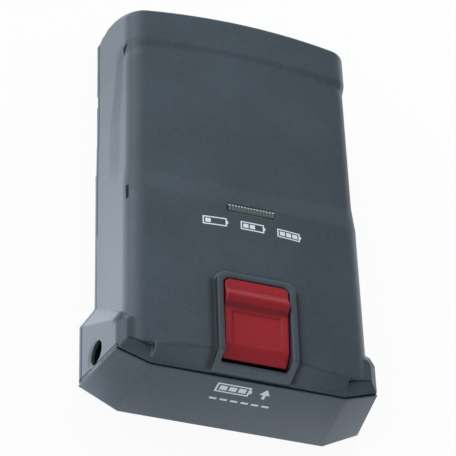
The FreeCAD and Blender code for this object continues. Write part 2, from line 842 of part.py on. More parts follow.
def make_front_shell():
    """The big front moulding, open at its back and at its foot."""
    skin = fuse("shell_skin", [OUTER, make_frame()])
    terminal_half = S.terminal_width / 2 + S.terminal_clearance
    lead_half = S.power_lead_x + S.power_lead / 2 + S.lead_room
    room = [
        box("below_shell", (-S.foot_width_back, -FAR, -FAR),
            (S.foot_width_back, S.pack_length + FAR, S.cover_thickness)),
        feature("body_room", body_cavity()),
        feature("foot_room", foot_cavity(0.0, number(S.cover_thickness) - PASS)),
        feature("below_shell_foot", below_cap_layer(number(SHELL_START))),
        make_opening(),
        box("terminal_room", (-terminal_half, NOSE_START - S.wall, -PASS),
            (terminal_half, S.pack_length - S.end_wall,
             S.cover_thickness + S.terminal_height + S.terminal_clearance)),
        box("lead_room", (-lead_half, NOSE_START - S.wall, S.cover_thickness),
            (lead_half, LEAD_DROP_Y + S.power_lead / 2 + S.lead_room,
             BOARD_TOP + S.lead_gap + S.power_lead + S.lead_room)),
        box("lens_window", (-S.lens_width / 2, S.lens_y - S.lens_height / 2, INNER_TOP - FAR),
            (S.lens_width / 2, S.lens_y + S.lens_height / 2, CROWN_TOP + FAR)),
    ]
    hollow = cut("shell_hollow", skin, room)
    post_top = S.cover_thickness + S.post_height
    posts = [
        rod("post_%d" % index, "z", (x, y, S.cover_thickness), S.screw_boss / 2, S.post_height)
        for index, (x, y) in enumerate(COVER_SCREWS[:2])
    ]
    # Webs tie the two foot posts to the side walls
    web_end = S.foot_width_front / 2 - S.wall / 4
    web_low = S.foot_screw_y - S.post_web / 2
    web_high = S.foot_screw_y + S.post_web / 2
    webs = [
        box("post_web_right", (S.foot_screw_x, web_low, S.cover_thickness), (web_end, web_high, post_top)),
        box("post_web_left", (-web_end, web_low, S.cover_thickness), (-S.foot_screw_x, web_high, post_top)),
    ]
    ear_start = S.barrel_length / 2 + S.ear_gap
    ears = []
    for name, low in (("right", ear_start), ("left", -(ear_start + S.ear_thickness))):
        ears.append(box("ear_" + name, (low, S.pivot_y - S.ear_half_length, S.pivot_height - S.ear_below_pin),
                        (low + S.ear_thickness, S.pivot_y + S.ear_half_length, CROWN_TOP - S.wall / 2)))
    bodied = fuse("shell_bodied", [hollow] + posts + webs + ears)
    boss_radius = S.screw_boss / 2 + S.rim_clearance
    holes = screw_rods("boss_seat", boss_radius, S.cover_thickness - PASS, S.cover_thickness + S.screw_boss_height)
    holes += screw_rods("pilot", S.screw_diameter / 2 + S.pin_fit_clearance, S.cover_thickness,
                        S.cover_thickness + S.screw_length)
    pin_reach = ear_start + S.ear_thickness
    holes.append(rod("pin_bore", "x", (-(pin_reach + PASS), S.pivot_y, S.pivot_height),
                     S.pin_diameter / 2 + S.pin_fit_clearance, (pin_reach + PASS) * 2))
    holes.append(rod("jack_bore", "x", (-(JACK_SIDE + FAR), S.jack_y, S.jack_height),
                     S.jack_opening / 2, JACK_SIDE + FAR - JACK_FACE + S.jack_barrel_length))
    holes.append(rod("jack_mouth", "x", (-(JACK_SIDE + FAR), S.jack_y, S.jack_height),
                     S.jack_mouth / 2, S.jack_mouth_depth + FAR))
    slot_low = S.cover_thickness + S.blade_slot_low
    for index in BLADES:
        x = blade_x(index)
        holes.append(box("end_slot_%d" % index, (x - S.blade_slot / 2, TERMINAL_END - PASS, slot_low),
                         (x + S.blade_slot / 2, S.pack_length + PASS, slot_low + S.blade_slot_height)))
    return node(cut("front_shell", bodied, holes), "front_shell")


def blade_x(index):
    """How far from the middle one terminal blade goes in."""
    return (index - (len(BLADES) - 1) / 2) * S.blade_pitch


def make_rear_cover():
    """The flat back, with a locating rim, screw seats and the spring's post."""
    slab = box("cover_slab", (-S.foot_width_back, -PASS, 0.0),
               (S.foot_width_back, S.pack_length + PASS, S.cover_thickness))
    plate = common("cover_plate", OUTER, slab)
    rim_low = S.cover_thickness - SINK
    rim_high = S.cover_thickness + S.rim_height
    rims = []
    rim_lean = number(rim_high) * math.tan(math.radians(number(S.side_draft)))
    reach = S.nose_width / 2 - S.wall - S.panel_depth - S.rim_clearance - rim_lean
    rim_start = S.foot_top_back + S.shoulder_back + PASS
    rim_end = NOSE_START - S.rim_end_gap
    for name, low in (("right", reach - S.rim_thickness), ("left", -reach)):
        rims.append(box("rim_" + name, (low, rim_start, rim_low), (low + S.rim_thickness, rim_end, rim_high)))
    seats = screw_rods("cover_seat", S.screw_boss / 2, rim_low, S.cover_thickness + S.screw_boss_height)
    post = rod("spring_post", "z", (0.0, S.spring_y, rim_low), S.spring_post / 2, SPRING_SEAT - rim_low)
    pilot = rod("spring_pilot_low", "z", (0.0, S.spring_y, SPRING_SEAT - SINK),
                S.spring_pilot / 2, S.spring_pilot_height + SINK)
    solid = fuse("cover_solid", [plate, post, pilot] + rims + seats)
    head_room = S.screw_head_diameter / 2 + S.screw_clearance
    boss_top = S.cover_thickness + S.screw_boss_height
    cuts = screw_rods("head_seat", head_room, -PASS, S.cover_thickness)
    cuts += screw_rods("shank_hole", S.screw_diameter / 2 + S.screw_clearance / 2, -PASS, boss_top + PASS)
    cuts.append(feature("below_cover_foot", below_cap_layer(number(SHELL_START))))
    middle = S.pack_length / 2
    cuts.append(box("label_recess", (-S.label_width / 2, middle - S.label_length / 2, -PASS),
                    (S.label_width / 2, middle + S.label_length / 2, S.label_depth)))
    return node(cut("rear_cover", solid, cuts), "rear_cover")


def make_base_cap():
    """The faceted cap on the foot: a thin lip over a plug that fills the foot's mouth."""
    lip = feature("cap_lip_form", cap_layer(0.0, S.cap_lip))
    clearance = number(S.plug_clearance)
    room = feature("plug_room", foot_cavity(clearance, number(S.cover_thickness) + clearance))
    layer = feature("plug_layer", cap_layer(S.cap_lip / 2, S.cap_lip + S.cap_plug))
    plug = common("cap_plug_form", room, layer)
    return node(fuse("base_cap", [lip, plug]), "base_cap")


def make_cover_screws():
    """Four self-tapping screws in the back."""
    screws = []
    face = S.cover_thickness - S.screw_head_height
    arm = S.screw_head_diameter / 2 - S.cross_margin
    half = S.cross_slot / 2
    floor = face + S.screw_head_height / 2
    for index, (x, y) in enumerate(COVER_SCREWS):
        head = rod("screw_head_%d" % index, "z", (x, y, face), S.screw_head_diameter / 2, S.screw_head_height)
        shank = rod("screw_shank_%d" % index, "z", (x, y, face), S.screw_diameter / 2,
                    S.screw_head_height + S.screw_length - S.screw_tip_gap)
        solid = fuse("screw_%d" % index, [head, shank])
        cross = [
            box("cross_x_%d" % index, (x - arm, y - half, face - PASS), (x + arm, y + half, floor)),
            box("cross_y_%d" % index, (x - half, y - arm, face - PASS), (x + half, y + arm, floor)),
        ]
        screws.append(cut("cross_screw_%d" % index, solid, cross))
    return node(group("rear_cover_screws", screws), "rear_cover_screws")


def make_lever():
    """The red release lever: thumb pad, catch ridge, arm and pivot barrel."""
    thumb = LEVER_TOP - S.thumb_depth
    under = thumb - S.lever_plate
    rib = S.ridge_y + S.rib_set_back
    crest = (S.ridge_y, S.frame_top + S.ridge_height)
    ridge_foot = (S.ridge_y - S.ridge_half, thumb)
    ridge_back = (S.ridge_y + S.ridge_half, LEVER_TOP + S.ridge_back_rise)
    bend = (S.lever_toe + S.pad_bend, thumb - S.pad_bend_drop)
    toe = (S.lever_toe, S.sill_height + S.toe_rise)
    profile = [
        (LEVER_END, LEVER_TOP),
        ridge_back,
        crest,
        ridge_foot,
        bend,
        toe,
        (S.lever_toe + S.toe_back, S.sill_height - S.toe_drop),
        (S.lever_toe + S.pad_bend + S.pad_bend_shift, under - S.pad_bend_drop),
        (rib, under),
        (rib, S.pivot_height),
        (LEVER_END - S.lever_step, S.pivot_height),
        (LEVER_END - S.lever_step, INNER_TOP - S.lever_step),
        (LEVER_END, INNER_TOP),
    ]
    pad = prism(
        "lever_pad", "YZ_Plane", profile, -LEVER_HALF, LEVER_HALF * 2,
        rounds=[
            (crest, S.ridge_round),
            (ridge_foot, S.ridge_foot_round),
            (bend, S.pad_bend_round),
            (toe, S.toe_round),
            (ridge_back, S.ridge_back_round),
        ],
    )
    corner_right = (LEVER_HALF, LEVER_END)
    corner_left = (-LEVER_HALF, LEVER_END)
    corner_round = S.opening_corner - S.lever_gap
    plan = prism(
        "lever_plan", "XY_Plane",
        [(-LEVER_HALF, 0.0), (LEVER_HALF, 0.0), corner_right, corner_left],
        S.pivot_height - FAR, S.frame_top - S.pivot_height + FAR * 2,
        rounds=[(corner_right, corner_round), (corner_left, corner_round)],
    )
    rounded = common("lever_rounded", pad, plan)
    radius = S.barrel_diameter / 2
    barrel = rod("lever_barrel", "x", (-S.barrel_length / 2, S.pivot_y, S.pivot_height), radius, S.barrel_length)
    arm_low = S.pivot_height - SINK
    arm = box("lever_arm", (-S.barrel_length / 2, rib, arm_low),
              (S.barrel_length / 2, S.pivot_y, arm_low + S.arm_thickness))
    wing_y = S.spring_y + S.wing_step
    wing_end = wing_y + S.wing_length
    wing_top = INNER_TOP - S.wing_gap
    wing_low = wing_top - S.wing_thickness
    stem_half = LEVER_HALF - SINK
    wings = box("lever_wings", (-(LEVER_HALF + S.wing_width), wing_y, wing_low),
                (LEVER_HALF + S.wing_width, wing_end, wing_top))
    wing_stem = box("wing_stem", (-stem_half, wing_y, wing_low), (stem_half, wing_end, under + SINK))
    boss = rod("spring_boss", "z", (0.0, S.spring_y, SPRING_TOP), S.spring_post / 2, under + SINK - SPRING_TOP)
    pilot = rod("spring_pilot_high", "z", (0.0, S.spring_y, SPRING_TOP - S.spring_pilot_height),
                S.spring_pilot / 2, S.spring_pilot_height + SINK)
    solid = fuse("lever_solid", [rounded, barrel, arm, wings, wing_stem, boss, pilot])
    dish_half = LEVER_HALF - S.thumb_rim
    dish_low = bend[0] + S.dish_low_gap
    dish_high = ridge_foot[0] - S.dish_high_gap
    dish = prism(
        "thumb_dish_form", "YZ_Plane",
        [
            (dish_low, thumb + PASS),
            (dish_low, bend[1] - S.thumb_dish + S.dish_low_rise),
            (dish_high, thumb - S.thumb_dish),
            (dish_high, thumb + PASS),
        ],
        -dish_half, dish_half * 2,
    )
    bore = rod("barrel_bore", "x", (-S.barrel_length, S.pivot_y, S.pivot_height),
               S.pin_diameter / 2 + S.pin_running_clearance, S.barrel_length * 2)
    return node(cut("release_lever", solid, [dish, bore]), "release_lever")


def make_pivot_pin():
    """The steel pin that the lever turns on, held in the shell's two ears."""
    reach = S.barrel_length / 2 + S.ear_gap + S.ear_thickness
    pin = rod("lever_pivot_pin", "x", (-reach, S.pivot_y, S.pivot_height), S.pin_diameter / 2, reach * 2)
    return node(pin, "lever_pivot_pin")


def make_spring():
    """The lever's return spring, as the sleeve that its turns fill."""
    outer = rod("spring_outer", "z", (0.0, S.spring_y, SPRING_SEAT), S.spring_diameter / 2, S.spring_length)
    inner = rod("spring_inner", "z", (0.0, S.spring_y, SPRING_SEAT - PASS),
                S.spring_diameter / 2 - S.spring_wire, S.spring_length + PASS * 2)
    return node(cut("lever_spring", outer, [inner]), "lever_spring")


def make_lens():
    """The ribbed status window, with a flange behind the wall and a stem down to the lamps."""
    half = S.lens_width / 2 - S.lens_clearance
    low = S.lens_y - S.lens_height / 2 + S.lens_clearance
    high = S.lens_y + S.lens_height / 2 - S.lens_clearance
    top = CROWN_TOP - S.lens_sink
    flange_top = INNER_TOP - S.lens_flange_gap
    flange_low = flange_top - S.lens_flange
    front = box("lens_front", (-half, low, flange_low), (half, high, top))
    flange = box("lens_flange_form", (-(half + S.lens_flange), low - S.lens_flange, flange_low),
                 (half + S.lens_flange, high + S.lens_flange, flange_top))
    stem = box("lens_stem", (-half, low, BOARD_TOP + S.led_height + S.lens_stem_gap), (half, high, flange_top))
    solid = fuse("lens_solid", [front, flange, stem])
    count = int((number(half) - number(S.lens_margin)) * 2 / number(S.lens_rib_pitch))
    groove = S.lens_groove / 2
    grooves = []
    for index in range(count):
        x = (index - (count - 1) / 2) * S.lens_rib_pitch
        grooves.append(box("lens_groove_%d" % index, (x - groove, low - PASS, top - S.lens_rib_depth),
                           (x + groove, high + PASS, top + PASS)))
    return node(cut("status_lens", solid, grooves), "status_lens")


def cell_y(index):
    """Where the axis of one cell lies along the pack."""
    return S.cell_first + index * S.cell_pitch


def make_cells():
    """The lithium cells that lie across the pack, turned end for end by turns."""
    for index in range(CELL_COUNT):
        y = cell_y(index)
        label = "cell_%d" % (index + 1)
        half = S.cell_length / 2
        positive_left = index % 2 == 0
        side = -1.0 if positive_left else 1.0
        can_low = -half + (S.cell_cap_height if positive_left else 0.0)
        can_length = S.cell_length - S.cell_cap_height
        can = rod(label + "_can", "x", (can_low, y, CELL_HEIGHT), CELL_RADIUS, can_length)
        cap_start = -half if positive_left else half - S.cell_cap_height * 2
        cap = rod(label + "_cap", "x", (cap_start, y, CELL_HEIGHT), S.cell_cap_diameter / 2, S.cell_cap_height * 2)
        groove_x = side * (half - S.cell_crimp_place) - S.cell_crimp_width / 2
        outer = rod(label + "_groove_outer", "x", (groove_x, y, CELL_HEIGHT), CELL_RADIUS + PASS, S.cell_crimp_width)
        core = rod(label + "_groove_core", "x", (groove_x - PASS, y, CELL_HEIGHT), CELL_RADIUS - S.cell_crimp,
                   S.cell_crimp_width + PASS * 2)
        groove = cut(label + "_groove", outer, [core])
        node(cut(label, fuse(label + "_solid", [can, cap]), [groove]), label)


def make_holder(name, side):
    """A comb that holds one end of all the cells and carries the board."""
    half = S.cell_length / 2
    low = half - S.holder_depth if side > 0 else -half
    block = box(name + "_block", (low, HOLDER_START, S.cover_thickness),
                (low + S.holder_depth, HOLDER_END, S.holder_top))
    posts = [
        rod("%s_post_%d" % (name, index), "z", (side * BOARD_SCREW_X, y, S.holder_top - SINK),
            S.board_post / 2, S.board_gap + SINK)
        for index, y in enumerate(BOARD_SCREW_Y)
    ]
    solid = fuse(name + "_solid", [block] + posts)
    tools = [
        rod("%s_bore_%d" % (name, index), "x", (low - PASS, cell_y(index), CELL_HEIGHT),
            CELL_RADIUS + S.holder_clearance, S.holder_depth + PASS * 2)
        for index in range(CELL_COUNT)
    ]
    depth = S.board_screw_length - S.board_thickness + S.board_screw_gap
    tools += [
        rod("%s_pilot_%d" % (name, index), "z", (side * BOARD_SCREW_X, y, BOARD_BOTTOM - depth),
            S.board_screw / 2 + S.pin_fit_clearance, depth + PASS)
        for index, y in enumerate(BOARD_SCREW_Y)
    ]
    return node(cut(name, solid, tools), name)


def cell_pairs(first):
    """Pairs of neighbouring cells from one cell on, with a lone cell at an end as a pair of itself."""
    pairs = [(index, min(index + 1, CELL_COUNT - 1)) for index in range(first, CELL_COUNT, 2)]
    return pairs if first == 0 else [(0, 0)] + pairs


def make_strips(name, side, pairs):
    """Nickel strips that join the cells in series, each with a sense tab up to the board."""
    face = S.cell_length / 2
    strips = []
    inner = S.board_width / 2 - S.tab_lap

    def across(low, high):
        return (low, high) if side > 0 else (-high, -low)

    plate_low, plate_high = across(face, face + S.strip_thickness)
    foil_low, foil_high = across(inner, face + S.strip_thickness)
    for index, (first, last) in enumerate(pairs):
        label = "%s_%d" % (name, index)
        middle = cell_y(last)
        plate = box(label + "_plate", (plate_low, cell_y(first) - S.strip_width / 2, CELL_HEIGHT - S.strip_width / 2),
                    (plate_high, middle + S.strip_width / 2, CELL_HEIGHT + S.strip_width / 2))
        riser = box(label + "_riser", (plate_low, middle - S.tab_width / 2, CELL_HEIGHT),
                    (plate_high, middle + S.tab_width / 2, BOARD_BOTTOM))
        foil_end = S.board_start + S.tab_lap if last == 0 else middle + S.tab_width / 2
        foil = box(label + "_foil", (foil_low, middle - S.tab_width / 2, BOARD_BOTTOM - S.strip_thickness),
                   (foil_high, foil_end, BOARD_BOTTOM))
        strips.append(fuse(label, [plate, riser, foil]))
    return node(group(name, strips), name)


def make_sheet_of_insulation(name, side):
    """A strip of fish paper over the welded ends."""
    near = S.cell_length / 2 + S.strip_thickness
    low = near if side > 0 else -(near + S.sheet_thickness)
    half = CELL_RADIUS - S.sheet_margin
    sheet = box(name + "_sheet", (low, HOLDER_START, CELL_HEIGHT - half),
                (low + S.sheet_thickness, HOLDER_END, CELL_HEIGHT + half))
    return node(sheet, name)


def make_foam_pad():
    """The foam that the cells lie on, between the two holders."""
    half = S.cell_length / 2 - S.holder_depth - S.foam_gap
    pad = box("cell_foam_pad", (-half, HOLDER_START, S.cover_thickness),
              (half, HOLDER_END, S.cover_thickness + S.foam_thickness))
    return node(pad, "cell_foam_pad")


def make_board():
    """The protection and charging board, on the holders' posts."""
    half = S.board_width / 2
    corners = [
        (-half, S.board_start), (half, S.board_start), (half, BOARD_END), (-half, BOARD_END),
    ]
    plate = prism("main_board_plate", "XY_Plane", corners, BOARD_BOTTOM, S.board_thickness,
                  rounds=[(corner, S.board_corner) for corner in corners])
    holes = [
        rod("board_hole_%d" % index, "z", (side * BOARD_SCREW_X, y, BOARD_BOTTOM - PASS),
            S.board_screw / 2 + S.board_hole_clearance, S.board_thickness + PASS * 2)
        for index, (side, y) in enumerate(BOARD_SCREWS)
    ]
    return node(cut("main_board", plate, holes), "main_board")


def make_board_screws():
    """Four small screws that hold the board on the cell holders."""
    screws = []
    for index, (side, y) in enumerate(BOARD_SCREWS):
        x = side * BOARD_SCREW_X
        head = rod("small_head_%d" % index, "z", (x, y, BOARD_TOP), S.board_screw_head / 2, S.board_screw_head_height)
        shank = rod("small_shank_%d" % index, "z", (x, y, BOARD_TOP - S.board_screw_length),
                    S.board_screw / 2, S.board_screw_length + SINK)
        screws.append(fuse("small_screw_%d" % index, [head, shank]))
    return node(group("board_screws", screws), "board_screws")


def chip(name, x, y, width, length, height):
    """A rectangular part that stands on the board."""
    return box(name, (x - width / 2, y - length / 2, BOARD_TOP), (x + width / 2, y + length / 2, BOARD_TOP + height))


def make_board_parts():
    """What is soldered to the top of the board, and the sensor below it."""
    controller_y = S.board_start + S.controller_place
    transistor_y = BOARD_END - S.transistor_inset
    node(chip("controller_chip", 0.0, controller_y, S.controller_width, S.controller_width, S.controller_height),
         "controller_chip")
    transistors = [
        chip("transistor_%d" % index, side * S.transistor_pitch / 2, transistor_y,
             S.transistor_width, S.transistor_length, S.transistor_height)
        for index, side in enumerate((-1.0, 1.0))
    ]
    node(group("power_transistors", transistors), "power_transistors")
    cans = [
        rod("capacitor_%d" % index, "z", (side * S.capacitor_pitch / 2, controller_y - S.capacitor_step, BOARD_TOP),
            S.capacitor_diameter / 2, S.capacitor_height)
        for index, side in enumerate((-1.0, 1.0))
    ]
    node(group("board_capacitors", cans), "board_capacitors")
    lamps = 4
    leds = [
        chip("status_led_%d" % index, (index - (lamps - 1) / 2) * S.lens_width / lamps, S.lens_y,
             S.led_width, S.led_length, S.led_height)
        for index in range(lamps)
    ]
    node(group("status_leds", leds), "status_leds")
    fuse_y = (controller_y + 2 * transistor_y) / 3
    node(chip("board_fuse", 0.0, fuse_y, S.fuse_width, S.fuse_length, S.fuse_height), "board_fuse")
    node(chip("current_shunt", 0.0, transistor_y, S.shunt_width, S.shunt_length, S.shunt_height), "current_shunt")
    y = cell_y(3)
    sensor = box("temperature_sensor",
                 (-S.sensor_width / 2, y - S.sensor_length / 2, CELL_HEIGHT + CELL_RADIUS + S.sensor_gap),
                 (S.sensor_width / 2, y + S.sensor_length / 2, BOARD_BOTTOM - S.sensor_gap))
    node(sensor, "temperature_sensor")


def make_jack():
    """The charge jack on its own small board in the foot's left side."""
    half_y = S.jack_body_width / 2
    low_z = S.jack_height - S.jack_body_height / 2
    block_face = JACK_FACE - S.jack_barrel_length
    block = box("jack_block", (-block_face, S.jack_y - half_y, low_z),
                (-JACK_BACK, S.jack_y + half_y, low_z + S.jack_body_height))
    barrel = rod("jack_barrel_form", "x", (-JACK_FACE, S.jack_y, S.jack_height),
                 S.jack_barrel / 2, S.jack_barrel_length + SINK)
    solid = fuse("jack_solid", [block, barrel])
    bore = rod("jack_bore_form", "x", (-(JACK_FACE + PASS), S.jack_y, S.jack_height),
               S.jack_bore / 2, S.jack_bore_depth + PASS)
    pin_hole = rod("jack_pin_hole", "x", (-JACK_FACE, S.jack_y, S.jack_height),
                   S.jack_pin / 2 + S.pin_fit_clearance, S.jack_length + PASS)
    node(cut("charge_jack", solid, [bore, pin_hole]), "charge_jack")
    pin = rod("jack_centre_pin", "x", (-(JACK_FACE - S.jack_pin_recess), S.jack_y, S.jack_height),
              S.jack_pin / 2, S.jack_length - S.jack_pin_recess)
    node(pin, "jack_centre_pin")
    liner = rod("jack_liner", "x", (-(JACK_FACE - S.jack_contact_recess), S.jack_y, S.jack_height),
                S.jack_bore / 2 - S.pin_fit_clearance, S.jack_bore_depth - S.jack_contact_recess * 2)
    liner_bore = rod("jack_liner_bore", "x", (-JACK_FACE, S.jack_y, S.jack_height),
                     S.jack_bore / 2 - S.jack_contact, S.jack_bore_depth + PASS)
    slot_half = S.jack_contact_slot / 2
    slot = box("jack_liner_slot", (-JACK_FACE, S.jack_y - slot_half, S.jack_height),
               (-JACK_BACK, S.jack_y + slot_half, S.jack_height + S.jack_bore))
    node(cut("jack_sleeve_contact", liner, [liner_bore, slot]), "jack_sleeve_contact")
    board_low = low_z - S.board_thickness
    board_half = half_y + S.jack_board_margin
    board = box("jack_board_plate", (-(block_face - S.jack_board_lap), S.jack_y - board_half, board_low),
                (-(JACK_BACK - S.jack_board_tail), S.jack_y + board_half, low_z))
    node(board, "jack_board")
    # The block stands on the cover and carries the small board
    rest = box("jack_board_rest_block", (-(block_face - S.jack_rest_inset), S.jack_y - half_y, S.cover_thickness),
               (-(JACK_BACK - S.jack_rest_tail), S.jack_y + half_y, board_low))
    node(rest, "jack_board_rest")


def make_terminals():
    """The terminal block in the nose and its five spring contacts."""
    half = S.terminal_width / 2
    top = S.cover_thickness + S.terminal_height
    start = TERMINAL_END - S.terminal_depth
    back = start + S.terminal_back
    block = box("terminal_block_form", (-half, start, S.cover_thickness), (half, TERMINAL_END, top))
    slot_low = S.cover_thickness + S.blade_slot_low - S.contact_room
    leaf_low = slot_low + S.contact_gap
    leaf_top = S.cover_thickness + S.blade_slot_low + S.blade_slot_height - S.contact_room
    room = S.blade_slot / 2 + S.contact_room
    reach = room - S.contact_gap
    slots = []
    contacts = []
    for index in BLADES:
        x = blade_x(index)
        slots.append(box("block_slot_%d" % index, (x - room, back, slot_low), (x + room, TERMINAL_END + PASS,
                                                                             top + PASS)))
        bridge = box("bridge_%d" % index, (x - reach, back, leaf_low), (x + reach, back + S.contact_sheet, leaf_top))
        leaves = [
            box("leaf_%s_%d" % (name, index), (low, back, leaf_low),
                (low + S.contact_sheet, TERMINAL_END - S.contact_inset, leaf_top))
            for name, low in (("left", x - reach), ("right", x + reach - S.contact_sheet))
        ]
        contacts.append(fuse("contact_%d" % index, [bridge] + leaves))
    node(cut("terminal_block", block, slots), "terminal_block")
    node(group("terminal_contacts", contacts), "terminal_contacts")


def lead(name, diameter, x, points, bend):
    """A round lead in a plane of constant x: straight runs joined by one tangent arc at each corner."""
    radius = number(bend)
    corners = [V(number(x), number(y), number(z)) for y, z in points]
    edges = []
    start = corners[0]
    for index in range(1, len(corners) - 1):
        corner = corners[index]
        before = (corners[index - 1] - corner).normalize()
        after = (corners[index + 1] - corner).normalize()
        half_angle = before.getAngle(after) / 2
        back = radius / math.tan(half_angle)
        first, last = corner + before * back, corner + after * back
        middle = corner + (before + after).normalize() * (radius / math.sin(half_angle) - radius)
        edges.append(Part.LineSegment(start, first).toShape())
        edges.append(Part.Arc(first, middle, last).toShape())
        start = last
    edges.append(Part.LineSegment(start, corners[-1]).toShape())
    path = Part.Wire(edges)
    circle = Part.makeCircle(number(diameter) / 2, corners[0], corners[1] - corners[0])
    tube = path.makePipeShell([Part.Wire(circle)], True, False)
    section_area = math.pi * number(diameter) ** 2 / 4
    print(name, "volume", round(tube.Volume, 1), "section times length", round(section_area * path.Length, 1))
    return node(feature(name, tube), name)


def make_leads():
    """The leads from the board to the terminals, and from the jack to the board."""
    level = BOARD_TOP + S.power_lead / 2 + S.lead_gap
    block_top = S.cover_thickness + S.terminal_height
    for name, side in (("positive_lead", -1.0), ("negative_lead", 1.0)):
        points = [
            (BOARD_END - S.power_lead_lap, level),
            (LEAD_DROP_Y, level),
            (LEAD_DROP_Y, block_top + S.lead_gap),
        ]
        lead(name, S.power_lead, side * S.power_lead_x, points, S.power_lead_bend)
    level = BOARD_TOP + S.jack_lead / 2 + S.lead_gap
    rise_y = S.jack_y + S.jack_body_width / 2 - S.jack_lead_inset
    board_face = S.jack_height - S.jack_body_height / 2
    for index, name in enumerate(("jack_lead_positive", "jack_lead_negative")):
        points = [
            (rise_y, board_face + S.lead_gap),
            (rise_y, level),
            (S.board_start + S.jack_lead_lap, level),
        ]
        lead(name, S.jack_lead, -(JACK_BACK - S.jack_lead_place - index * S.jack_lead_pitch), points,
             S.jack_lead_bend)


make_front_shell()
make_rear_cover()
make_base_cap()
make_cover_screws()
make_lever()
make_pivot_pin()
make_spring()
make_lens()
make_cells()
make_holder("cell_holder_right", 1.0)
make_holder("cell_holder_left", -1.0)
make_strips("nickel_strips_left", -1.0, cell_pairs(0))
make_strips("nickel_strips_right", 1.0, cell_pairs(1))
make_sheet_of_insulation("insulation_sheet_right", 1.0)
make_sheet_of_insulation("insulation_sheet_left", -1.0)
make_foam_pad()
make_board()
make_board_screws()
make_board_parts()
make_jack()
make_terminals()
make_leads()
DOC.recompute()

for thing in DOC.Objects:
    if "Invalid" in thing.State or "Error" in thing.State:
        raise RuntimeError("%s failed: %s" % (thing.Label, thing.State))
for thing in NODES:
    if thing.Shape.isNull() or not thing.Shape.isValid() or not thing.Shape.Solids:
        raise RuntimeError("%s has no valid solid" % thing.Label)

os.makedirs("parts", exist_ok=True)
for thing in NODES:
    thing.Shape.exportStep("parts/%s.step" % thing.Label)
print(len(NODES), "nodes written")
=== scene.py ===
"""Looks of a cordless vacuum cleaner's battery pack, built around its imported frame. Metres throughout."""

import json
import logging
import math
from dataclasses import dataclass
from enum import Enum

import bmesh
import bpy
from mathutils import Matrix, Vector
from mathutils.bvhtree import BVHTree

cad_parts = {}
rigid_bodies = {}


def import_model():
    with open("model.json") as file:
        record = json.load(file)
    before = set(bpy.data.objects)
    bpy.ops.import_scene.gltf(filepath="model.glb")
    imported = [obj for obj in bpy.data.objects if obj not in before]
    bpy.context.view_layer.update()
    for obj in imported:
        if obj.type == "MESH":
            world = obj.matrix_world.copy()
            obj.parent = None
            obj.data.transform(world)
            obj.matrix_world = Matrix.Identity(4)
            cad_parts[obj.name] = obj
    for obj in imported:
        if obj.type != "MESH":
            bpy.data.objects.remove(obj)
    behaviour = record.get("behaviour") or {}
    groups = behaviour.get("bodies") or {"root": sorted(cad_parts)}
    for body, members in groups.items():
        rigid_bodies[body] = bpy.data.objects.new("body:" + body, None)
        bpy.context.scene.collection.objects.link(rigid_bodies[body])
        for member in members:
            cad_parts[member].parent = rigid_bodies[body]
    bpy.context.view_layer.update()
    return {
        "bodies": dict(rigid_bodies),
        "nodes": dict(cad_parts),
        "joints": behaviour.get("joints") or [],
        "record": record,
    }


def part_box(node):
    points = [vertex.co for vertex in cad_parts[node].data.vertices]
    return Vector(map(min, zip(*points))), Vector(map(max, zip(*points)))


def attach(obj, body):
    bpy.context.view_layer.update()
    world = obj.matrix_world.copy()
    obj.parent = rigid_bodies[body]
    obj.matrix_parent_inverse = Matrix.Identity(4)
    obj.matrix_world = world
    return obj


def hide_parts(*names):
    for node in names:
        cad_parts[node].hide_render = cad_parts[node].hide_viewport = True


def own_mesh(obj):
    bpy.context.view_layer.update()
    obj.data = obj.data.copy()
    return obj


LOG = logging.getLogger("battery_pack")
MM = 0.001

Colour = tuple[float, float, float]
Pair = tuple[float, float]
Triple = tuple[float, float, float]
Four = tuple[float, float, float, float]

# How far out the foot's side stands at the back, and how far it leans in per height
SIDE_LOW = 45.0 * MM
SIDE_LEAN = 0.153

# The most triangles that a remoulded piece keeps
SHELL_BUDGET = 180_000
SMALL_BUDGET = 90_000


def srgb(red: int, green: int, blue: int) -> Colour:
    """Turns a screen colour into the linear colour that shaders take.

    Args:
        red: Red, 0 to 255.
        green: Green, 0 to 255.
        blue: Blue, 0 to 255.

    Returns:
        The linear colour.
    """
    shares = [level / 255 for level in (red, green, blue)]
    return tuple(s / 12.92 if s <= 0.04045 else ((s + 0.055) / 1.055) ** 2.4 for s in shares)


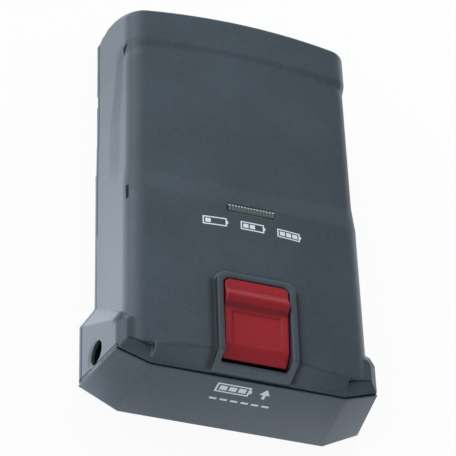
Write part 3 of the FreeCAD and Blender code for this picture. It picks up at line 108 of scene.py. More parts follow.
class Signal:
    """One output socket of a node, so that shader maths reads as an expression."""

    def __init__(self, recipe: "Recipe", socket: bpy.types.NodeSocket) -> None:
        """Keeps the socket and the recipe that it belongs to."""
        self.recipe = recipe
        self.socket = socket

    def _maths(self, operation: str, first: "Value", second: "Value" = 0.0) -> "Signal":
        """Adds one Math node."""
        return self.recipe.node("ShaderNodeMath", {"operation": operation}, {0: first, 1: second})

    def __add__(self, other: "Value") -> "Signal":
        """self + other."""
        return self._maths("ADD", self, other)

    __radd__ = __add__

    def __sub__(self, other: "Value") -> "Signal":
        """self - other."""
        return self._maths("SUBTRACT", self, other)

    def __rsub__(self, other: "Value") -> "Signal":
        """other - self."""
        return self._maths("SUBTRACT", other, self)

    def __mul__(self, other: "Value") -> "Signal":
        """self * other."""
        return self._maths("MULTIPLY", self, other)

    __rmul__ = __mul__

    def __abs__(self) -> "Signal":
        """The size of self, whatever its sign."""
        return self._maths("ABSOLUTE", self)

    def above_zero(self) -> "Signal":
        """self, or 0 where it is less."""
        return self._maths("MAXIMUM", self)

    def wave(self) -> "Signal":
        """The sine of self."""
        return self._maths("SINE", self)

    def ramp(self, low: float, high: float, start: float = 0.0, end: float = 1.0) -> "Signal":
        """Maps a stretch of values to another, smoothly and no further.

        Args:
            low: The value that gives start.
            high: The value that gives end.
            start: The result at low.
            end: The result at high.

        Returns:
            The mapped signal.
        """
        settings = {"interpolation_type": "SMOOTHSTEP"}
        return self.recipe.node("ShaderNodeMapRange", settings, {0: self, 1: low, 2: high, 3: start, 4: end})


Value = Signal | float | Colour


class Recipe:
    """The nodes of one material, or of the world."""

    def __init__(self, tree: bpy.types.NodeTree) -> None:
        """Starts from an empty tree."""
        self.tree = tree
        tree.nodes.clear()

    def node(self, kind: str, settings: dict | None = None, sockets: dict | None = None,
             output: int | str = 0) -> Signal:
        """Adds one node.

        Args:
            kind: The node's type.
            settings: Its settings, which are set first.
            sockets: The values or links of its input sockets, by number or name.
            output: The output that is wanted, by number or name.

        Returns:
            The output as a signal.
        """
        made = self.tree.nodes.new(kind)
        for name, value in (settings or {}).items():
            setattr(made, name, value)
        for key, value in (sockets or {}).items():
            self.feed(made.inputs[key], value)
        return Signal(self, made.outputs[output] if len(made.outputs) else None)

    def feed(self, socket: bpy.types.NodeSocket, value: Value) -> None:
        """Links a signal to a socket, or sets the socket's own value.

        Args:
            socket: The input socket.
            value: The signal, number or colour that it gets.
        """
        if isinstance(value, Signal):
            self.tree.links.new(value.socket, socket)
        elif isinstance(value, tuple) and len(socket.default_value) == 4:
            socket.default_value = (*value, 1.0)
        else:
            socket.default_value = value

    def coordinates(self) -> Signal:
        """Places on the piece, in the object's own frame."""
        return self.node("ShaderNodeTexCoord", output="Object")

    def close(self, shader: Signal, kind: str) -> None:
        """Leads a shader to an output node of a given type."""
        self.tree.links.new(shader.socket, self.tree.nodes.new(kind).inputs["Surface"])

    def seen(self) -> Signal:
        """Tells what is looked at from what only casts light.

        Returns:
            1 for what the camera, a reflection or a refraction sees, else 0.
        """
        rays = [
            self.node("ShaderNodeLightPath", output=name)
            for name in ("Is Camera Ray", "Is Glossy Ray", "Is Transmission Ray")
        ]
        return self.node("ShaderNodeClamp", sockets={0: rays[0] + rays[1] + rays[2]})

    def axis(self, name: str) -> Signal:
        """X, Y or Z on the piece."""
        return self.node("ShaderNodeSeparateXYZ", sockets={0: self.coordinates()}, output=name)

    def place(self) -> tuple[Signal, Signal, Signal]:
        """How far a place is across from the middle plane, to either side, and along and up."""
        return abs(self.axis("X")), self.axis("Y"), self.axis("Z")

    def noise(self, size: float, detail: float = 2.0, stretch: Triple = (1, 1, 1)) -> Signal:
        """Cloudy noise about 0.5.

        Args:
            size: How far its lumps lie apart.
            detail: How many finer layers it has.
            stretch: How much longer than size its lumps are along X, Y and Z.

        Returns:
            The noise.
        """
        squeeze = tuple(1 / share for share in stretch)
        place = self.node("ShaderNodeMapping", sockets={"Vector": self.coordinates(), "Scale": squeeze})
        return self.node("ShaderNodeTexNoise", sockets={"Vector": place, "Scale": 1 / size, "Detail": detail})

    def cells(self, size: float, edges: bool = False) -> Signal:
        """Splits the piece into many random cells.

        Args:
            size: How far the cells' middles lie apart.
            edges: Whether the distance is to the cells' edges.

        Returns:
            The distance to the nearest cell's middle or to the nearest edge.
        """
        settings = {"feature": "DISTANCE_TO_EDGE" if edges else "F1"}
        sockets = {"Vector": self.coordinates(), "Scale": 1 / size}
        return self.node("ShaderNodeTexVoronoi", settings, sockets, output="Distance")

    @staticmethod
    def inside(place: Signal, low: float, high: float, fade: float) -> Signal:
        """1 where a place lies between two limits, fading to 0 past them."""
        return place.ramp(low - fade, low) * place.ramp(high, high + fade, 1.0, 0.0)

    def blend(self, share: Value, first: Value, second: Value) -> Signal:
        """Mixes two colours.

        Args:
            share: 0 for the first colour, 1 for the second.
            first: The first colour.
            second: The second colour.

        Returns:
            The mixed colour.
        """
        return self.node("ShaderNodeMix", {"data_type": "RGBA"}, {0: share, 6: first, 7: second}, output=2)

    def bump(self, height: Signal, depth: float) -> Signal:
        """Turns a height into a normal. A height of 1 is as deep as depth."""
        return self.node("ShaderNodeBump", sockets={"Strength": 1.0, "Distance": depth, "Height": height})


@dataclass(frozen=True)
class Look:
    """What changes over a surface."""

    colour: Value
    roughness: Value
    normal: Signal | None = None
    metallic: Value = 0.0
    coat: Value | None = None


@dataclass(frozen=True)
class Finish:
    """One finish: its own numbers, and a material made of them."""

    name: str
    colour: Colour
    roughness: float = 0.5
    coat: float = 0.0
    coat_roughness: float = 0.25
    transmission: float = 0.0

    def look(self, recipe: Recipe) -> Look:
        """Works out what changes over the surface."""
        raise NotImplementedError

    def tones(self, recipe: Recipe, share: Value, low: float, high: float) -> Signal:
        """Mixes two tones of the finish's colour: low where the share is 0, high where it is 1."""
        return recipe.blend(share, scaled(self.colour, low), scaled(self.colour, high))

    def material(self) -> bpy.types.Material:
        """Makes the material, or finds the one that was made before.

        Returns:
            The material.
        """
        made = bpy.data.materials.get(self.name)
        if made:
            return made
        made = bpy.data.materials.new(self.name)
        made.use_nodes = True
        recipe = Recipe(made.node_tree)
        look = self.look(recipe)
        sockets = {
            "Base Color": look.colour,
            "Roughness": look.roughness,
            "Metallic": look.metallic,
            "Coat Weight": self.coat if look.coat is None else look.coat,
            "Coat Roughness": self.coat_roughness,
            "Transmission Weight": self.transmission,
        }
        if look.normal:
            sockets["Normal"] = look.normal
        recipe.close(recipe.node("ShaderNodeBsdfPrincipled", sockets=sockets), "ShaderNodeOutputMaterial")
        return made


def scaled(colour: Colour, share: float) -> Colour:
    """A darker or lighter tone of a colour."""
    return tuple(level * share for level in colour)


@dataclass(frozen=True)
class MouldedPlastic(Finish):
    """Moulded plastic with a spark-eroded grain and cloudy tone, painted highlights on its edges and painted
    shade in its hollows.
    """

    grain: float = 0.5 * MM
    depth: float = 0.025 * MM
    cloud: float = 24.0 * MM
    layers: float = 3.0
    cloud_levels: Pair = (0.3, 0.7)
    speck_levels: Pair = (0.35, 0.65)
    tone_share: float = 0.35
    speck_roughness: float = 0.2
    contrast: float = 0.15
    # Painted highlight on sharp edges: how strong it is, and the pointiness where it starts and is full
    edge: float = 0.0
    edge_highlight_levels: Pair = (0.515, 0.6)
    # Painted shade in hollows from ambient occlusion: how strong, how far it reaches, the open levels, samples
    # and tone
    hollow_shade: float = 0.0
    hollow_shade_reach: float = 3.0 * MM
    hollow_shade_open: Pair = (0.5, 1.0)
    hollow_shade_samples: int = 6
    hollow_shade_tone: float = 0.1
    shade_tone: float = 0.04
    shade_roughness: float = 0.7

    def shade(self, recipe: Recipe) -> Signal | None:
        """How much painted shade single places get, from 0 to 1."""
        return None

    def relief(self, recipe: Recipe) -> Signal | None:
        """How far single places stand out, as a share of the grain's depth."""
        return None

    def look(self, recipe: Recipe) -> Look:
        """Works out the grain, the cloudy tone, the painted highlights on edges and the painted shade in
        hollows.

        Args:
            recipe: The material's nodes.

        Returns:
            The look.
        """
        cloud = recipe.noise(self.cloud, self.layers).ramp(*self.cloud_levels)
        speck = recipe.noise(self.grain * 2, self.layers)
        pits = recipe.cells(self.grain)
        shade = self.shade(recipe)
        relief = self.relief(recipe)
        share = cloud * self.tone_share + speck.ramp(*self.speck_levels) * self.tone_share
        # Painted highlight: sharp edges are lightened by their pointiness, standing in for light caught on
        # rounded edges
        if self.edge:
            point = recipe.node("ShaderNodeNewGeometry", output="Pointiness")
            share = share + point.ramp(*self.edge_highlight_levels) * self.edge
        colour = self.tones(recipe, share, 1 - self.contrast, 1 + self.contrast * 2)
        # Painted shade: hollows are darkened by ambient occlusion
        if self.hollow_shade:
            settings = {"samples": self.hollow_shade_samples, "only_local": True}
            sockets = {"Distance": self.hollow_shade_reach}
            open_share = recipe.node("ShaderNodeAmbientOcclusion", settings, sockets, output="AO")
            hollow = open_share.ramp(*self.hollow_shade_open, self.hollow_shade, 0.0)
            colour = recipe.blend(hollow, colour, scaled(self.colour, self.hollow_shade_tone))
        roughness = speck * self.speck_roughness + (self.roughness - self.speck_roughness / 2)
        coat = None
        # Painted shade from shade(): a darker colour there, rougher and with less coat
        if shade:
            colour = recipe.blend(shade, colour, scaled(self.colour, self.shade_tone))
            roughness = roughness + shade * self.shade_roughness
            coat = (1 - shade) * self.coat
        height = pits * 0.5 + speck * 0.5
        if relief:
            height = height + relief
        return Look(colour=colour, roughness=roughness, normal=recipe.bump(height, self.depth), coat=coat)


@dataclass(frozen=True)
class HousingPlastic(MouldedPlastic):
    """The housing's plastic: painted shade in seams, hollows and notches, and a fine hatch along the panel's
    corners.

    Places across are distances from the middle plane, and hold for both sides. A pair is where something starts
    and ends, or where a fade starts and is full. The seam's corner and slope are given at the flat back and at
    the side's full height.
    """

    fade: float = 0.15 * MM
    wide_fade: float = 2.0 * MM
    darkest: float = 0.92
    # Painted shade in the seam round the cap
    cap_face: float = -73.25 * MM
    seam: float = 0.7 * MM
    seam_half: float = 0.14 * MM
    seam_end: Pair = (25.9 * MM, 26.2 * MM)
    seam_corner: Pair = (32.8 * MM, 30.5 * MM)
    seam_slope: Pair = (0.533, 0.34)
    side_height: float = 25.5 * MM
    side_inset: Pair = (0.7 * MM, 0.2 * MM)
    side_shift: float = 1.1 * MM
    # Painted shade in small notches at the sunk panel's ends
    notches: tuple[Four, ...] = (
        (37.5 * MM, 37.9 * MM, -12.4 * MM, -7.4 * MM),
        (37.5 * MM, 38.2 * MM, 49.9 * MM, 52.3 * MM),
    )
    notch_up: Pair = (22.4 * MM, 23.2 * MM)
    # Painted shade in a slanted line above the foot's ledge
    groove_across: Pair = (30.6 * MM, 38.1 * MM)
    groove_along: float = -68.1 * MM
    groove_slope: float = 0.224
    groove_half: float = 0.25 * MM
    groove_up: Pair = (27.6 * MM, 28.5 * MM)
    groove_dark: float = 0.7
    # Painted shade where the foot's shoulder meets the body
    shoulder_across: Pair = (38.2 * MM, 39.6 * MM)
    shoulder_along: Pair = (-58.5 * MM, -55.0 * MM)
    shoulder_up: Pair = (24.5 * MM, 28.0 * MM)
    shoulder_dark: float = 0.45
    # Painted shade beside the button's surround
    surround_in: Pair = (12.3 * MM, 12.6 * MM)
    surround_out: Pair = (13.2 * MM, 15.4 * MM)
    surround_along: Pair = (-72.0 * MM, -44.0 * MM)
    surround_up: Pair = (26.0 * MM, 27.0 * MM)
    surround_dark: float = 0.6
    # The hatch: bumped grooves, also darkened with painted shade
    hatch_pitch: float = 2.0 * MM
    hatch_slant: float = 1.6
    hatch_line: Pair = (-0.5, 0.9)
    hatch_across: Pair = (33.6 * MM, 37.6 * MM)
    hatch_along: Pair = (-9.0 * MM, 45.0 * MM)
    hatch_up: Pair = (23.0 * MM, 25.0 * MM)
    hatch_dark: float = 0.3
    hatch_height: float = -2.0

    def shade(self, recipe: Recipe) -> Signal:
        """Adds up all the painted shade.

        Args:
            recipe: The material's nodes.

        Returns:
            How much darker a place is.
        """
        dark = self.seams(recipe)
        for notch in self.notches:
            dark = dark + self.notch(recipe, notch)
        dark = dark + self.groove(recipe) * self.groove_dark
        dark = dark + self.shoulder(recipe) * self.shoulder_dark
        dark = dark + self.surround(recipe) * self.surround_dark
        dark = dark + self.hatch(recipe) * self.hatch_dark
        return recipe.node("ShaderNodeClamp", sockets={0: dark}) * self.darkest

    def relief(self, recipe: Recipe) -> Signal:
        """The hatch along the corners."""
        return self.hatch(recipe) * self.hatch_height

    def seams(self, recipe: Recipe) -> Signal:
        """Paints shade in the seam round the cap, which runs towards the nose along the cap's slanted corners.

        Args:
            recipe: The material's nodes.

        Returns:
            1 in the seam, else 0.
        """
        across, along, up = recipe.place()
        share = up * (1 / self.side_height)
        corner = share * (self.seam_corner[1] - self.seam_corner[0]) + self.seam_corner[0]
        slope = share * (self.seam_slope[1] - self.seam_slope[0]) + self.seam_slope[0]
        rise = (across - corner).above_zero() * slope
        inset_low, inset_high = self.side_inset
        on_side = (across + up * SIDE_LEAN).ramp(SIDE_LOW - inset_low, SIDE_LOW - inset_high)
        seam = abs(along - rise - on_side * self.side_shift - (self.cap_face + self.seam))
        line = seam.ramp(self.seam_half, self.seam_half + self.fade, 1.0, 0.0)
        return line * up.ramp(*self.seam_end, 1.0, 0.0)

    def notch(self, recipe: Recipe, notch: Four) -> Signal:
        """Paints the shade of a small notch at an end of the sunk panel.

        Args:
            recipe: The material's nodes.
            notch: Where it starts and ends across, and where along.

        Returns:
            1 in the notch, else 0.
        """
        across, along, up = recipe.place()
        column = recipe.inside(across, *notch[:2], self.fade) * up.ramp(*self.notch_up)
        return column * recipe.inside(along, *notch[2:], self.fade * 3)

    def groove(self, recipe: Recipe) -> Signal:
        """Paints a slanted line of shade above the foot's ledge.

        Args:
            recipe: The material's nodes.

        Returns:
            1 in the line, else 0.
        """
        across, along, up = recipe.place()
        line = abs(along - (across - self.groove_across[0]) * self.groove_slope - self.groove_along)
        line = line.ramp(self.groove_half, self.groove_half + self.fade, 1.0, 0.0)
        line = line * recipe.inside(up, *self.groove_up, self.fade)
        return line * recipe.inside(across, *self.groove_across, self.fade * 3)

    def shoulder(self, recipe: Recipe) -> Signal:
        """Paints shade at the end of the foot's shoulder, where it meets the body's corner.

        Args:
            recipe: The material's nodes.

        Returns:
            1 in the shade, else 0.
        """
        across, along, up = recipe.place()
        zone = recipe.inside(along, *self.shoulder_along, self.wide_fade)
        zone = zone * recipe.inside(up, *self.shoulder_up, self.wide_fade)
        return zone * across.ramp(*self.shoulder_across)

    def surround(self, recipe: Recipe) -> Signal:
        """Draws the shade beside the button's surround.

        Args:
            recipe: The material's nodes.

        Returns:
            1 in the shade, else 0.
        """
        across, along, up = recipe.place()
        zone = across.ramp(*self.surround_in) * across.ramp(*self.surround_out, 1.0, 0.0)
        zone = zone * up.ramp(*self.surround_up)
        return zone * recipe.inside(along, *self.surround_along, self.wide_fade)

    def hatch(self, recipe: Recipe) -> Signal:
        """Draws the fine slanted grooves along the corners, which are bumped and darkened with painted shade.

        Args:
            recipe: The material's nodes.

        Returns:
            1 in the grooves, else 0.
        """
        across, along, up = recipe.place()
        slanted = along + across * self.hatch_slant - up * self.hatch_slant
        lines = (slanted * (math.tau / self.hatch_pitch)).wave()
        zone = recipe.inside(across, *self.hatch_across, self.wide_fade)
        zone = zone * recipe.inside(along, *self.hatch_along, self.wide_fade)
        return lines.ramp(*self.hatch_line) * zone * up.ramp(*self.hatch_up)


@dataclass(frozen=True)
class LeverPlastic(MouldedPlastic):
    """The lever's plastic, with painted shade and a rougher, thinner coat in the hollow below its ridge."""

    # Painted shade in the hollow below the ridge
    hollow_along: Pair = (-53.4 * MM, -52.4 * MM)
    hollow_fade: float = 0.9 * MM
    hollow_up: Pair = (33.0 * MM, 33.5 * MM)
    hollow_dark: float = 0.35

    def shade(self, recipe: Recipe) -> Signal:
        """The painted shade in the hollow below the ridge."""
        hollow = recipe.inside(recipe.axis("Y"), *self.hollow_along, self.hollow_fade)
        return hollow * recipe.axis("Z").ramp(*self.hollow_up) * self.hollow_dark


@dataclass(frozen=True)
class DrawnMetal(Finish):
    """Bright metal with fine drawing lines along one axis and a little tarnish."""

    line: float = 0.12 * MM
    stretch: Triple = (30.0, 1.0, 1.0)
    depth: float = 0.01 * MM
    stain: float = 4.0 * MM
    stain_layers: float = 3.0
    stain_levels: Pair = (0.45, 0.75)
    stain_tone: float = 0.72
    uneven: float = 0.15

    def look(self, recipe: Recipe) -> Look:
        """Works out the drawing lines and the tarnish.

        Args:
            recipe: The material's nodes.

        Returns:
            The look.
        """
        lines = recipe.noise(self.line, stretch=self.stretch)
        tarnish = recipe.noise(self.stain, self.stain_layers).ramp(*self.stain_levels)
        return Look(
            colour=self.tones(recipe, tarnish, 1.0, self.stain_tone),
            roughness=lines * self.uneven + tarnish * self.uneven + self.roughness,
            normal=recipe.bump(lines, self.depth),
            metallic=1.0,
        )


@dataclass(frozen=True)
class SmokedPlastic(Finish):
    """Dark clear plastic with a faint haze, and a painted highlight along its far top edge."""

    haze: float = 3.0 * MM
    haze_tones: Pair = (0.8, 1.3)
    uneven: float = 0.1
    ripple: float = 0.4 * MM
    depth: float = 0.004 * MM
    rim_highlight: Colour = srgb(205, 214, 212)
    rim_highlight_from: float | None = None
    rim_highlight_fade: float = 0.2 * MM
    rim_highlight_up: Pair = (33.35 * MM, 33.45 * MM)

    def look(self, recipe: Recipe) -> Look:
        """Works out the haze and the painted highlight.

        Args:
            recipe: The material's nodes.

        Returns:
            The look.
        """
        haze = recipe.noise(self.haze)
        colour = self.tones(recipe, haze, *self.haze_tones)
        # Painted highlight: a light band along the far top edge
        if self.rim_highlight_from is not None:
            edge = recipe.axis("Y").ramp(self.rim_highlight_from, self.rim_highlight_from + self.rim_highlight_fade)
            top = recipe.axis("Z").ramp(*self.rim_highlight_up)
            colour = recipe.blend(edge * top, colour, self.rim_highlight)
        return Look(
            colour=colour,
            roughness=haze * self.uneven + self.roughness,
            normal=recipe.bump(recipe.noise(self.ripple), self.depth),
        )


@dataclass(frozen=True)
class ShrinkSleeve(Finish):
    """Shrunk-on film, with fine wrinkles that run along the cell."""

    wrinkle: float = 0.9 * MM
    stretch: Triple = (14.0, 1.0, 1.0)
    depth: float = 0.04 * MM
    cloud: float = 9.0 * MM
    cloud_tones: Pair = (0.8, 1.2)
    uneven: float = 0.15

    def look(self, recipe: Recipe) -> Look:
        """Works out the wrinkles.

        Args:
            recipe: The material's nodes.

        Returns:
            The look.
        """
        cloud = recipe.noise(self.cloud)
        return Look(
            colour=self.tones(recipe, cloud, *self.cloud_tones),
            roughness=cloud * self.uneven + self.roughness,
            normal=recipe.bump(recipe.noise(self.wrinkle, stretch=self.stretch), self.depth),
        )


@dataclass(frozen=True)
class FibrePaper(Finish):
    """Pressed fibre sheet with long fibres and flecks."""

    fibre: float = 0.3 * MM
    fibre_layers: float = 3.0
    stretch: Triple = (1.0, 8.0, 1.0)
    depth: float = 0.03 * MM
    fleck: float = 1.6 * MM
    fleck_reach: float = 0.35
    fleck_share: float = 0.4
    paper_tones: Pair = (0.7, 1.25)
    uneven: float = 0.1

    def look(self, recipe: Recipe) -> Look:
        """Works out the fibres and flecks.

        Args:
            recipe: The material's nodes.

        Returns:
            The look.
        """
        fibre = recipe.noise(self.fibre, self.fibre_layers, self.stretch)
        fleck = recipe.cells(self.fleck).ramp(0.0, self.fleck_reach)
        share = fibre * (1 - self.fleck_share) + fleck * self.fleck_share
        return Look(
            colour=self.tones(recipe, share, *self.paper_tones),
            roughness=fibre * self.uneven + self.roughness,
            normal=recipe.bump(fibre, self.depth),
        )


@dataclass(frozen=True)
class OpenFoam(Finish):
    """Foam with open pores."""

    pore: float = 0.7 * MM
    pore_walls: Pair = (0.02, 0.2)
    pore_tones: Pair = (1.5, 0.6)
    depth: float = 0.15 * MM
    uneven: float = 0.1

    def look(self, recipe: Recipe) -> Look:
        """Works out the pores.

        Args:
            recipe: The material's nodes.

        Returns:
            The look.
        """
        pores = recipe.cells(self.pore, edges=True).ramp(*self.pore_walls)
        return Look(
            colour=self.tones(recipe, pores, *self.pore_tones),
            roughness=pores * self.uneven + self.roughness,
            normal=recipe.bump(1 - pores, self.depth),
        )


@dataclass(frozen=True)
class SolderMask(Finish):
    """Circuit board lacquer with copper tracks that show through."""

    track: float = 4.0 * MM
    track_edges: Pair = (0.05, 0.09)
    track_tone: float = 1.9
    depth: float = 0.03 * MM
    ripple: float = 1.2 * MM
    ripple_share: float = 0.2
    uneven: float = 0.12

    def look(self, recipe: Recipe) -> Look:
        """Works out the tracks and the lacquer's ripple.

        Args:
            recipe: The material's nodes.

        Returns:
            The look.
        """
        track = recipe.cells(self.track, edges=True).ramp(*self.track_edges)
        ripple = recipe.noise(self.ripple)
        share = track * (1 - self.ripple_share) + ripple * self.ripple_share
        return Look(
            colour=self.tones(recipe, share, self.track_tone, 1.0),
            roughness=ripple * self.uneven + self.roughness,
            normal=recipe.bump(1 - track, self.depth),
        )


SLATE = srgb(62, 72, 79)
FINISHES = {
    # The housing and the lever get painted highlights on edges and painted shade in hollows
    "housing_slate": HousingPlastic("slate_plastic", SLATE, 0.36, coat=0.4, edge=0.6, hollow_shade=0.8,
                                    hollow_shade_reach=5.0 * MM),
    "release_red": LeverPlastic("red_plastic", srgb(152, 17, 28), 0.36, coat=0.15, grain=0.3 * MM,
                                depth=0.008 * MM, contrast=0.12, edge=0.6, hollow_shade=0.8, hollow_shade_reach=4.0 * MM,
                                hollow_shade_open=(0.7, 1.0)),
    "steel_bright": DrawnMetal("bright_steel", srgb(196, 198, 202), 0.25),
    # The lens gets a painted highlight along its far top edge
    "lens_smoke": SmokedPlastic("smoked_lens", srgb(84, 96, 93), 0.2, coat=0.3, transmission=0.1,
                                rim_highlight_from=-13.7 * MM),
    "cell_sleeve": ShrinkSleeve("cell_film", srgb(52, 128, 168), 0.3, coat=0.2),
    "holder_black": MouldedPlastic("black_plastic", srgb(38, 38, 40), 0.55),
    "nickel": DrawnMetal("nickel_strip", srgb(206, 203, 196), 0.3),
    "fish_paper": FibrePaper("fish_paper", srgb(150, 158, 132), 0.8),
    "foam_grey": OpenFoam("grey_foam", srgb(92, 92, 96), 0.9),
    "board_green": SolderMask("green_board", srgb(24, 88, 52), 0.3, coat=0.2),
    "chip_black": MouldedPlastic("chip_resin", srgb(34, 34, 36), 0.6, grain=0.2 * MM, depth=0.01 * MM),
    "capacitor_can": DrawnMetal("aluminium_can", srgb(200, 202, 205), 0.35, stretch=(1.0, 1.0, 20.0)),
    "led_clear": SmokedPlastic("lamp_resin", srgb(225, 226, 205), 0.2, transmission=0.4),
    "lead_red": MouldedPlastic("red_insulation", srgb(176, 30, 28), 0.35, grain=0.4 * MM, depth=0.006 * MM),
    "lead_black": MouldedPlastic("black_insulation", srgb(28, 28, 30), 0.35, grain=0.4 * MM, depth=0.006 * MM),
}
PRINT = MouldedPlastic("white_print", srgb(222, 230, 235), 0.55, grain=0.25 * MM, depth=0.004 * MM,
                       contrast=0.05)


class Workshop:
    """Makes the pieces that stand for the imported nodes. Angles are in degrees."""

    doubles: float = 0.001 * MM
    flat: float = 0.5
    sharp: float = 40.0
    crease: float = 35.0
    all_smooth: float = 180.0

    def __init__(self, frame: dict) -> None:
        """Reads the nodes and their material slots."""
        self.nodes = frame["nodes"]
        self.slots = {part["node"]: part["material_slot"] for part in frame["record"]["subparts"]}

    def merged(self, node: str) -> bmesh.types.BMesh:
        """A copy of a node's mesh, with the doubles between its faces merged.

        Args:
            node: The node's name.

        Returns:
            The copy.
        """
        shape = bmesh.new()
        shape.from_mesh(self.nodes[node].data)
        bmesh.ops.remove_doubles(shape, verts=shape.verts, dist=self.doubles)
        return shape

    def add(self, name: str, shape: bmesh.types.BMesh, finish: Finish, body: str = "housing",
            slot: str | None = None, smooth: float = crease) -> bpy.types.Object:
        """Makes an object of a finished mesh and lets it ride on a body.

        Args:
            name: The piece's name.
            shape: Its mesh, which is freed.
            finish: Its finish.
            body: The body that it moves with.
            slot: The record's material slot that its finish stands for; not used.
            smooth: The angle in degrees past which an edge stays sharp.

        Returns:
            The object.
        """
        mesh = bpy.data.meshes.new(name)
        shape.to_mesh(mesh)
        shape.free()
        mesh.shade_smooth()
        mesh.set_sharp_from_angle(angle=math.radians(smooth))
        piece = bpy.data.objects.new(name, mesh)
        bpy.context.scene.collection.objects.link(piece)
        piece.data.materials.append(finish.material())
        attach(piece, body)
        LOG.info("%s: %d faces", name, len(mesh.polygons))
        return piece

    def carry(self, node: str, body: str = "housing", bevel: float = 0.0, steps: int = 2) -> bpy.types.Object:
        """Stands a clean copy in for a node: flats joined, sharp edges rounded, curves smooth.

        Args:
            node: The node's name.
            body: The body that it moves with.
            bevel: How wide its sharp edges are rounded.
            steps: How many faces round an edge.

        Returns:
            The piece.
        """
        shape = self.merged(node)
        flat = math.radians(self.flat)
        bmesh.ops.dissolve_limit(shape, angle_limit=flat, verts=shape.verts, edges=shape.edges)
        if bevel:
            least = math.radians(self.sharp)
            sharp = [edge for edge in shape.edges if edge.is_manifold and edge.calc_face_angle() > least]
            bmesh.ops.bevel(shape, geom=sharp, offset=bevel, offset_type="OFFSET", segments=steps, profile=0.5,
                            affect="EDGES", material=-1, clamp_overlap=True)
        slot = self.slots[node]
        piece = self.add(node + "_piece", shape, FINISHES[slot], body, slot)
        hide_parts(node)
        return piece

    def remould(self, node: str, body: str = "housing", voxel: float = 0.4 * MM, passes: int = 3,
                budget: int = SHELL_BUDGET) -> bpy.types.Object:
        """Stands a moulding in for a node, with all its edges and inner corners softly rounded.

        Args:
            node: The node's name.
            body: The body that it moves with.
            voxel: The size of the faces that it is cut into at first.
            passes: How often it is smoothed.
            budget: The most triangles that are left.

        Returns:
            The piece.
        """
        slot = self.slots[node]
        piece = self.add(node + "_piece", self.merged(node), FINISHES[slot], body, slot, self.all_smooth)
        remesh = piece.modifiers.new("cut", "REMESH")
        remesh.mode = "VOXEL"
        remesh.voxel_size = voxel
        smooth = piece.modifiers.new("soften", "SMOOTH")
        smooth.factor = 0.5
        smooth.iterations = passes
        self.apply(piece)
        count = sum(len(face.vertices) - 2 for face in piece.data.polygons)
        if count > budget:
            thin = piece.modifiers.new("thin", "DECIMATE")
            thin.ratio = budget / count
            self.apply(piece)
        piece.data.shade_smooth()
        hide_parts(node)
        LOG.info("%s: %d of %d triangles kept", piece.name, len(piece.data.polygons), count)
        return piece

    @staticmethod
    def apply(piece: bpy.types.Object) -> None:
        """Applies all modifiers of a piece.

        Args:
            piece: The piece.
        """
        bpy.context.view_layer.update()
        finished = piece.evaluated_get(bpy.context.evaluated_depsgraph_get())
        made = bpy.data.meshes.new_from_object(finished)
        made.name = piece.name
        piece.modifiers.clear()
        old = piece.data
        piece.data = made
        bpy.data.meshes.remove(old)


@dataclass
class Housing:
    """The shell, the back, the cap and the screws."""

    voxel: float = 0.4 * MM
    quick_factor: int = 2
    cap_round: float = 0.35 * MM
    cap_steps: int = 3
    screw_round: float = 0.12 * MM
    jack_place: Pair = (-62.15 * MM, 12.0 * MM)
    mouth_radius: float = 6.6 * MM
    mouth_depth: float = 0.25 * MM
    mouth_cut: float = 1.1 * MM
    wall: float = 2.0 * MM

    def build(self, workshop: Workshop) -> None:
        """Builds and dresses the outer mouldings.

        Args:
            workshop: What makes the pieces.
        """
        voxel = self.voxel * 1
        self.shell = workshop.remould("front_shell", voxel=voxel)
        self.flatten_mouth()
        workshop.remould("rear_cover", voxel=voxel, budget=SMALL_BUDGET)
        self.cap = workshop.carry("base_cap", bevel=self.cap_round, steps=self.cap_steps)
        workshop.carry("rear_cover_screws", bevel=self.screw_round)

    def flatten_mouth(self) -> None:
        """Lets the ring round the jack's hole follow the slope of the foot's side, at an even depth."""
        for vertex in self.shell.data.vertices:
            place = vertex.co
            reach = math.hypot(place.y - self.jack_place[0], place.z - self.jack_place[1])
            surface = -(SIDE_LOW - SIDE_LEAN * place.z)
            deep = place.x - surface
            if reach > self.mouth_radius or not 0.0 < deep < self.wall:
                continue
            if deep < self.mouth_cut:
                deep *= self.mouth_depth / self.mouth_cut
            else:
                share = (deep - self.mouth_cut) / (self.wall - self.mouth_cut)
                deep = self.mouth_depth + share * (self.wall - self.mouth_depth)
            place.x = surface + deep


class Face(Enum):
    """The faces that carry print, each with its directions to the right, up and out."""

    FRONT = (Vector((1, 0, 0)), Vector((0, 1, 0)), Vector((0, 0, 1)))
    CAP = (Vector((1, 0, 0)), Vector((0, 0, 1)), Vector((0, -1, 0)))


